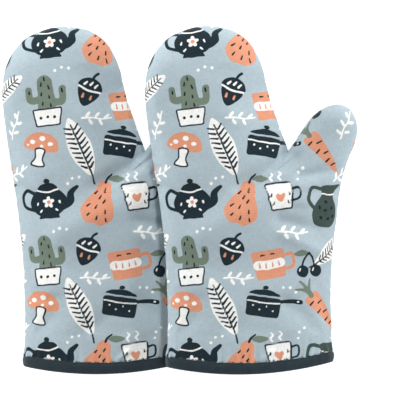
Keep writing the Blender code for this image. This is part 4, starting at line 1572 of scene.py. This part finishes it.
@dataclass
class Glove:
    """One glove: six layers of cloth and wadding, the cuff tape, and three rows of stitches.

    Attributes:
        body: The model's body that it moves with.
        prefix: Start of its nodes' and pieces' names.
        shape: The glove's shape.
        lie: How it lies.
        broad: For each side, the moves that all its layers share.
        fine: For each side, the moves of the printed cloth alone.
        flat: For each side and cloth, the places of its coarse grid on the flat cloth.
        printed: For each side, the distances of its outer face's points to each ink.
        finishes: The materials by name.
        cloth_gap: Space left between the two halves of the printed cloth at the seam.
        stitch_pitch: From the start of one stitch to the start of the next.
        stitch_length: The length of a stitch.
        tape_wave: How far the cuff tape ripples in and out.
        tape_wave_size: Usual distance between two of its ripples.
        pieces: The pieces made so far.
    """

    body: str
    prefix: str
    shape: GloveShape
    lie: Lie
    broad: dict[Side, Points]
    fine: dict[Side, Points]
    flat: dict[tuple[Side, str], Points]
    printed: dict[Side, dict[Ink, Points]]
    finishes: Materials
    cloth_gap: float = 0.2 * MM
    stitch_pitch: float = 3.0 * MM
    stitch_length: float = 2.3 * MM
    tape_wave: float = 0.25 * MM
    tape_wave_size: float = 9 * MM
    pieces: list[bpy.types.Object] = field(default_factory=list)

    def face(
        self, side: Side, depth: Points | float, gap: float, every: int, fine: bool
    ) -> Points:
        """A grid of the glove's surface, with its folds, as the glove lies.

        Args:
            side: Which half of the glove.
            depth: How far inside the outer face, in metres.
            gap: Space between the two halves at the side seam.
            every: Which stations and steps of reach it takes.
            fine: Whether it has the moves of the printed cloth alone.

        Returns:
            An array of stations by steps of reach by x, y and z.
        """
        grid = self.shape.surface(side, depth, gap, every) + self.broad[side][::every, ::every]
        if fine:
            grid = grid + self.fine[side][::every, ::every]
        return self.lie.placed(grid)

    def sheet_mesh(self, side: Side, name: str, gap: float, every: int) -> bpy.types.Mesh:
        """A closed mesh of one layer: an outer and an inner grid joined round their edge.

        The inner grid is coarse. Where the outer one takes every station, each of the edge's
        faces has five corners outside and two inside.

        Args:
            side: Which half of the glove.
            name: The layer's name.
            gap: Space between the two halves at the side seam.
            every: Which stations the outer face takes.

        Returns:
            The mesh. A cloth's has its place on the flat cloth as its UV map.
        """
        near, far = self.shape.layer(name)
        shape = self.shape
        outer = self.face(side, near, gap, every, name == "panel")
        inner = self.face(side, far, gap, COARSE, False)
        ids, first = shape.numbering(every)
        low, low_first = shape.numbering(COARSE)
        points = shape.listed(outer, first)
        low = low + len(points)
        flipped = side is Side.FRONT
        edge, low_edge = (
            np.concatenate([n[0], n[1:, -1], n[-1, -2::-1]]) for n in (ids, low)
        )
        step = COARSE // every
        starts = np.arange(0, len(edge) - 1, step)
        over = edge[starts[:, None] + np.arange(step + 1)]
        rim = np.hstack([over, low_edge[1:, None], low_edge[:-1, None]])
        mesh = make_mesh(
            f"{self.prefix}_{side.value}_{name}_piece",
            np.vstack([points, shape.listed(inner, low_first)]),
            grid_faces(ids, flipped),
            grid_faces(low, not flipped),
            rim if flipped else rim[:, ::-1],
        )
        mesh.set_sharp_from_angle(angle=np.radians(62))
        if (side, name) in self.flat:
            flat = self.flat[side, name]
            outside = flat if every == COARSE else finer(flat)
            places = np.vstack([shape.listed(outside, first), shape.listed(flat, low_first)])
            set_uv(mesh, places)
            # The wrong side of the printed cloth stays unprinted
            for ink, away in (self.printed[side] if name == "panel" else {}).items():
                unprinted = np.full(len(places) - len(points), away.max())
                set_values(mesh, ink.value, np.concatenate([away, unprinted]))
        return mesh

    def add(self, piece: bpy.types.Object, slot: str, *nodes: str) -> bpy.types.Object:
        """Ties a piece to the glove's body and hides the nodes that it stands for.

        Args:
            piece: The piece.
            slot: Not used.
            nodes: The nodes' names without the glove's prefix.

        Returns:
            The same piece.
        """
        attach(piece, self.body)
        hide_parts(*(f"{self.prefix}_{node}" for node in nodes))
        self.pieces.append(piece)
        logger.info("%s: %d faces", piece.name, len(piece.data.polygons))
        return piece

    def add_layers(self) -> None:
        """Makes the printed cloth, the wadding and the lining of both sides."""
        cut = self.shape.cut
        for side in Side:
            mesh = self.sheet_mesh(side, "wadding", cut.seam_gap, COARSE)
            wadding = add_object(mesh, self.finishes["wadding"])
            self.add(wadding, "wadding", f"{side.value}_wadding")
            for name, slot, cloth_name, gap, every in (
                ("panel", "print_ground", "cotton", self.cloth_gap, 1),
                ("lining", "lining", "lining", cut.seam_gap, COARSE),
            ):
                mesh = self.sheet_mesh(side, name, gap, every)
                cloth = add_object(mesh, self.finishes[cloth_name])
                self.add(cloth, slot, f"{side.value}_{name}")

    def hem_loop(self, depth: Points, up: Points) -> Points:
        """Loops round the cuff: over the front to its right corner, and back under the back.

        Args:
            depth: How far each loop lies inside the outer face.
            up: How far it lies over the hem.

        Returns:
            An array of loops by points by x, y and z.
        """
        shape, loops = self.shape, []
        for inside, rise in zip(depth, up):
            front, back = (shape.surface(side, inside, self.cloth_gap, 1) for side in Side)
            loop = np.vstack([front[0, ::-1], front[-1, 1:], back[-1, ::-1], back[0, 1:]])
            loops.append(loop + (0, rise, 0))
        return np.stack(loops)

    def tape_profile(self) -> Points:
        """The folded tape's section, from its outer top edge round the fold and inside back.

        The outer face is a flat arc that stands out most at half its height, with a dent where
        it is stitched. The fold is half an ellipse under the hem, and the inner face is straight.

        Returns:
            Rows of depth inside the glove's outer face and height over the hem.
        """
        cut = self.shape.cut
        wall, wrap, high, tuck = cut.hem_wall, cut.wrap, cut.binding_width, cut.clearance
        arc, pressed, edge_high, edge_wide = 0.7 * MM, 0.3 * MM, 0.35 * MM, 0.5 * MM
        dent, dent_down, dent_width = 0.3 * MM, 1.4 * MM, 0.5 * MM
        outer_points, fold_points, inner_points = 15, 13, 7
        rise = np.linspace(high - edge_high, 0, outer_points)
        bulge = arc * np.sin(np.pi * rise / high)
        stitched = dent * np.exp(-(((rise - high + dent_down) / dent_width) ** 2))
        outer = np.stack([-wrap - bulge + stitched + pressed, rise], axis=1)
        turn = np.linspace(0, np.pi, fold_points)[1:-1]
        across = wall / 2 - (wall / 2 + wrap - pressed) * np.cos(turn)
        fold = np.stack([across, -wrap * np.sin(turn)], axis=1)
        climb = np.linspace(0, high - edge_high, inner_points)
        inner = np.stack([np.full_like(climb, wall + wrap - pressed), climb], axis=1)
        top_in = [(wall + wrap - edge_wide, high), (wall + tuck, high)]
        inside = [(wall + tuck, high / 2), (wall + tuck, -tuck), (-tuck, -tuck), (-tuck, high / 2)]
        top_out = [(-tuck, high), (-wrap + edge_wide, high)]
        return np.vstack([outer, fold, inner, top_in, inside, top_out])

    def add_tape(self) -> None:
        """Makes the cuff tape: its section carried round the hem, slightly rippled.

        The tape stands in and out by smooth noise along the hem, and its top edge wanders up and
        down a little as a sewn edge does.
        """
        edge_wave, edge_stretch, least, most = 0.3 * MM, 1.6, 0.12, 0.94
        profile = self.tape_profile()
        ring = self.hem_loop(profile[:, 0], profile[:, 1])
        hem = self.hem_loop(np.zeros(1), np.zeros(1))[0]
        steps = np.linalg.norm(np.diff(hem, axis=0, append=hem[:1]), axis=1)
        along = np.concatenate([[0], np.cumsum(steps)[:-1]])
        total = steps.sum()
        turn = 2 * np.pi * along / total
        circle = total / (2 * np.pi)
        x, y = circle * np.cos(turn), circle * np.sin(turn)
        ripple = self.tape_wave * soft_noise(x, y, self.tape_wave_size, 31)
        edge = edge_wave * soft_noise(x, y, edge_stretch * self.tape_wave_size, 32)
        outward = out_of_hem(hem)
        outward /= np.linalg.norm(outward, axis=1, keepdims=True)
        cut = self.shape.cut
        rise = np.clip(profile[:, 1] / cut.binding_width, 0, 1)
        outer = (profile[:, 0] < 0) & (profile[:, 1] >= 0)
        stand = np.where(outer, np.sin(np.pi * np.clip(rise, least, most)), 0)
        ring = ring + outward * (stand[:, None] * ripple)[..., None]
        ring[..., 1] += (rise**3)[:, None] * edge * outer[:, None]
        ring = self.lie.placed(ring)
        ids = np.arange(ring[..., 0].size).reshape(ring.shape[:2])
        ids = np.concatenate([ids, ids[:1]])
        ids = np.concatenate([ids, ids[:, :1]], axis=1)
        mesh = make_mesh(f"{self.prefix}_cuff_tape", ring.reshape(-1, 3), grid_faces(ids))
        mesh.set_sharp_from_angle(angle=np.radians(75))
        across = run_length(profile)[:, None]
        places = np.stack(np.broadcast_arrays(along, across), axis=-1)
        set_uv(mesh, places.reshape(-1, 2))
        tape = self.add(add_object(mesh, self.finishes["tape"]), "binding_tape", "cuff_binding")

    def add_row(
        self, name: str, line: Points, out: Points, thread: bpy.types.Material, node: str
    ) -> None:
        """Makes a row of stitches along a line, for the node of that name."""
        mesh = stitch_mesh(
            f"{self.prefix}_{name}_stitches",
            self.lie.placed(line),
            out,
            self.stitch_pitch,
            self.stitch_length,
            self.shape.cut.thread,
        )
        self.add(add_object(mesh, thread), node, node)

    def add_stitches(self) -> None:
        """Makes the stitches of the side seam, of the lining's seam and along the cuff tape."""
        cut, shape = self.shape.cut, self.shape
        moves = self.broad[Side.FRONT][:, -1] * (1, 1, 0)
        flat = np.zeros((len(moves), 1))
        near, _ = shape.layer("panel")
        middle = sum(shape.layer("lining")) / 2
        under_face = 0.15 * MM
        for name, depth, start in (
            ("seam", near + under_face, shape.band_count),
            ("lining", middle, 0),
        ):
            line = np.hstack([shape.outline - depth[:, None] * shape.out, flat]) + moves
            kept = slice(start, len(line) - start)
            out, node = np.hstack([shape.out, flat]), f"{name}_thread"
            self.add_row(name, line[kept], out[kept], self.finishes[node], node)
        up = cut.binding_width + cut.clearance + cut.thread / 2
        line = self.hem_loop(np.array([-cut.clearance - cut.thread / 2]), np.array([up]))[0]
        line = line[np.linalg.norm(line - np.roll(line, 1, axis=0), axis=1) > 0.01 * MM]
        self.add_row("cuff", line, out_of_hem(line), self.finishes["tape_thread"], "binding_thread")

    def build(self) -> None:
        """Makes every piece of the glove."""
        self.add_layers()
        self.add_tape()
        self.add_stitches()


@dataclass
class Pair:
    """Both gloves: the left one flat on the table, the right one resting on its thumb.

    Attributes:
        shape: The shape that both gloves are sewn to.
        swelling: How the wadding fills them.
        left_press: What is left of the left glove's height where the right one lies on it.
        field_side: Side of a square round the origin that holds both gloves.
        cell: Side of the cells in which the two gloves' heights are compared.
        front_print_start: Where the front was cut from the printed cloth, in millimetres.
        back_print_start: Where the back was cut from it.
        left_place: Where the left glove's frame lies on the table.
        right_place: Where the right glove's frame lies.
    """

    shape: GloveShape = field(default_factory=GloveShape)
    swelling: Swelling = Swelling()
    left_press: float = 0.5
    field_side: float = 400 * MM
    cell: float = 2 * MM
    front_print_start: tuple[float, float] = (70.0, 8.0)
    back_print_start: tuple[float, float] = (31.0, 77.0)
    left_place: tuple[float, float] = (-58.6918 * MM, -140.0001 * MM)
    right_place: tuple[float, float] = (56.7082 * MM, -140.0001 * MM)

    def moves(self) -> tuple[dict[Side, Points], dict[Side, Points]]:
        """How the cloth of a glove moves from its drawn shape.

        Returns:
            For each side the moves that all layers share, and those of the printed cloth alone.
        """
        folds = Folds(self.shape.cut)
        swollen = self.swelling.moves(self.shape)
        broad, fine = {}, {}
        for side in Side:
            drawn = self.shape.surface(side, 0, 0, 1)
            above = drawn[..., 1:2] - drawn[0, 0, 1] - self.shape.cut.cuff_band
            calm = ease(above / self.swelling.cuff_fade)
            broad[side] = swollen[side] * calm + folds.broad(self.shape, drawn, side)
            fine[side] = folds.fine(self.shape, drawn, side)
        return broad, fine

    def print_on(self, side: Side, flat: Points) -> dict[Ink, Points]:
        """Where the print falls on a cloth. The back's is cut face down, so it is mirrored.

        Args:
            side: Which half of the glove.
            flat: The places of its coarse grid on the flat cloth.

        Returns:
            The distance to each ink at each point of its outer face.
        """
        places = self.shape.listed(finer(flat), self.shape.numbering(1)[1])
        mirrored, start = (
            (1, self.front_print_start) if side is Side.FRONT else (-1, self.back_print_start)
        )
        return KitchenPrint().distances(places * (mirrored, 1) / MM + start)

    def resting_lift(self, lower: Glove, upper: Glove) -> float:
        """The least lift at which the upper glove's back clears the lower glove's front.

        Both are sorted into square cells seen from above. In each cell the lower glove's
        highest point, plus the clearance, less the upper glove's lowest one, is divided by the
        cell's share of the lift.

        Args:
            lower: The glove that lies on the table.
            upper: The glove that lies on it, with no lift yet.

        Returns:
            The lift, in metres.
        """
        cut, margin = self.shape.cut, self.field_side / 2
        size = (int(self.field_side / self.cell),) * 2
        heights = []
        for glove, side, far, pick in (
            (lower, Side.FRONT, -1.0, np.maximum),
            (upper, Side.BACK, 1.0, np.minimum),
        ):
            grid = glove.face(side, 0, glove.cloth_gap, 1, True)
            tape = glove.lie.placed(
                glove.hem_loop(np.full(3, -cut.wrap), np.linspace(0, cut.binding_width, 3))
            )
            points = np.vstack([grid.reshape(-1, 3), tape.reshape(-1, 3)])
            cells = np.full(size, far)
            place = ((points[:, :2] + margin) / self.cell).astype(int)
            pick.at(cells, (place[:, 0], place[:, 1]), points[:, 2])
            heights.append(cells)
        top, under = heights
        both = (top > -1) & (under < 1)
        x = (np.nonzero(both)[0] + 0.5) * self.cell - margin - upper.lie.place[0]
        share = upper.lie.drape(x)
        needed = (top[both] + cut.clearance - under[both])[share > 0] / share[share > 0]
        return float(max(needed.max(), 0))

    def build(self, finishes: Materials) -> None:
        """Makes both gloves, the upper one lifted by as much as the lower one asks.

        Args:
            finishes: The materials by name.
        """
        cut = self.shape.cut
        broad, fine = self.moves()
        flat = {
            (side, name): self.shape.flat_cloth(side, name)
            for side in Side
            for name in ("panel", "lining")
        }
        printed = {side: self.print_on(side, flat[side, "panel"]) for side in Side}
        left, right = (
            Glove(body, prefix, self.shape, lie, broad, fine, flat, printed, finishes)
            for body, prefix, lie in (
                ("left_glove", "left", Lie(cut, self.left_press, 0, self.left_place)),
                ("right_glove", "right", Lie(cut, 1, 0, self.right_place)),
            )
        )
        right.lie.lift = self.resting_lift(left, right)
        logger.info("the upper glove is lifted by %.1f mm", right.lie.lift / MM)
        left.build()
        right.build()


# The studio


@dataclass(frozen=True)
class Studio:
    """A white table, soft lamps all round and a camera straight above the pair.

    Attributes:
        table_half: Half the table's side.
        drop: How far the table's face lies under the gloves.
        table_glow: What the camera sees on the table beside its lit colour.
        horizon: The sky's strength at the horizon.
        zenith: Its strength from low_sky upwards.
        low_sky: The sine of the height at which the sky has faded to the zenith's strength.
        lens: The camera's focal length, in millimetres.
        sensor: Its sensor's width, in millimetres.
        sight: How far it sees.
        frame_width: Width of what it sees, at frame_height_over_table.
        frame_height_over_table: Height at which frame_width is measured.
        frame_centre: The place on the table under the camera.
        lamps: For each soft lamp its place, its width and its power in watts.
    """

    table_half: float = 3.0
    drop: float = 0.3 * MM
    table_glow: float = 0.7
    horizon: float = 3.5
    zenith: float = 0.12
    low_sky: float = 0.3
    lens: float = 600.0
    sensor: float = 36.0
    sight: float = 20.0
    frame_width: float = 322.8 * MM
    frame_height_over_table: float = 14 * MM
    frame_centre: tuple[float, float] = (16.5 * MM, 0.2 * MM)
    lamps: tuple[tuple[tuple[float, float, float], float, float], ...] = (
        ((-0.3, 1.45, 0.75), 0.5, 16.5),
        ((0.8, -0.5, 2.15), 0.5, 20.0),
        ((-1.5, 0.1, 0.35), 0.5, 8.5),
        ((1.5, 0.1, 0.35), 0.5, 6.5),
    )

    def white_behind(
        self, tree: bpy.types.NodeTree, lit: bpy.types.Node, white: bpy.types.Node
    ) -> bpy.types.Node:
        """Mixes in plain white where a ray of the camera, a mirror or glass arrives."""
        path = add_node(tree, "ShaderNodeLightPath", {})
        seen = path.outputs["Is Camera Ray"]
        for name in ("Is Glossy Ray", "Is Transmission Ray"):
            rays = {0: seen, 1: path.outputs[name]}
            seen = add_node(tree, "ShaderNodeMath", rays, operation="MAXIMUM").outputs[0]
        return add_node(tree, "ShaderNodeMixShader", {0: seen, 1: lit, 2: white})

    def table(self) -> None:
        """Sets the table: matt white, and for the camera white with its soft shadows left."""
        half = self.table_half
        corners = np.array([(-half, -half), (half, -half), (half, half), (-half, half)])
        points = np.column_stack([corners, np.full(4, -self.drop)])
        mesh = make_mesh("table", points, np.array([[0, 1, 2, 3]]))
        material, tree = new_material("white_table")
        tree.nodes.clear()
        lit = add_node(tree, "ShaderNodeBsdfDiffuse", {"Color": linear("ececec")})
        glow = add_node(
            tree, "ShaderNodeEmission", {"Color": linear("ffffff"), "Strength": self.table_glow}
        )
        both = add_node(tree, "ShaderNodeAddShader", {0: lit, 1: glow})
        mixed = self.white_behind(tree, lit, both)
        add_node(tree, "ShaderNodeOutputMaterial", {"Surface": mixed})
        table = add_object(mesh, material)

    def light(self) -> None:
        """Sets a pale sky all round, white to the camera, and soft lamps that face the pair."""
        world = bpy.data.worlds.new("white_room")
        bpy.context.scene.world = world
        world.use_nodes = True
        tree = world.node_tree
        tree.nodes.clear()
        direction = add_node(tree, "ShaderNodeTexCoord", {}).outputs["Generated"]
        height = add_node(tree, "ShaderNodeSeparateXYZ", {0: direction}).outputs["Z"]
        fall = {"Value": height, 1: 0.0, 2: self.low_sky, 3: self.horizon, 4: self.zenith}
        strength = add_node(tree, "ShaderNodeMapRange", fall)
        sky, white = (
            add_node(tree, "ShaderNodeBackground", {"Color": linear("ffffff"), "Strength": power})
            for power in (strength, 1.0)
        )
        add_node(tree, "ShaderNodeOutputWorld", {"Surface": self.white_behind(tree, sky, white)})
        for number, (place, size, power) in enumerate(self.lamps, 1):
            lamp = bpy.data.lights.new(f"soft_lamp_{number}", "AREA")
            lamp.shape = "DISK"
            lamp.size = size
            lamp.energy = power
            holder = in_scene(lamp)
            holder.location = place
            holder.rotation_euler = (-Vector(place)).to_track_quat("-Z", "Y").to_euler()

    def camera(self) -> None:
        """Sets the camera straight above, as far off as its long lens needs for the frame."""
        data = bpy.data.cameras.new("camera")
        data.lens = self.lens
        data.sensor_width = self.sensor
        holder = in_scene(data)
        distance = self.frame_width * self.lens / self.sensor
        holder.location = (*self.frame_centre, distance + self.frame_height_over_table)
        data.clip_end = self.sight
        bpy.context.scene.camera = holder

    def build(self) -> None:
        """Sets the table, the light and the camera."""
        self.table()
        self.light()
        self.camera()
        bpy.context.scene.view_settings.view_transform = "Standard"


def main() -> None:
    """Builds the pair and the studio."""
    logging.basicConfig(level=logging.INFO, format="%(message)s")
    Pair().build(all_finishes())
    Studio().build()


if __name__ == "__main__":
    main()
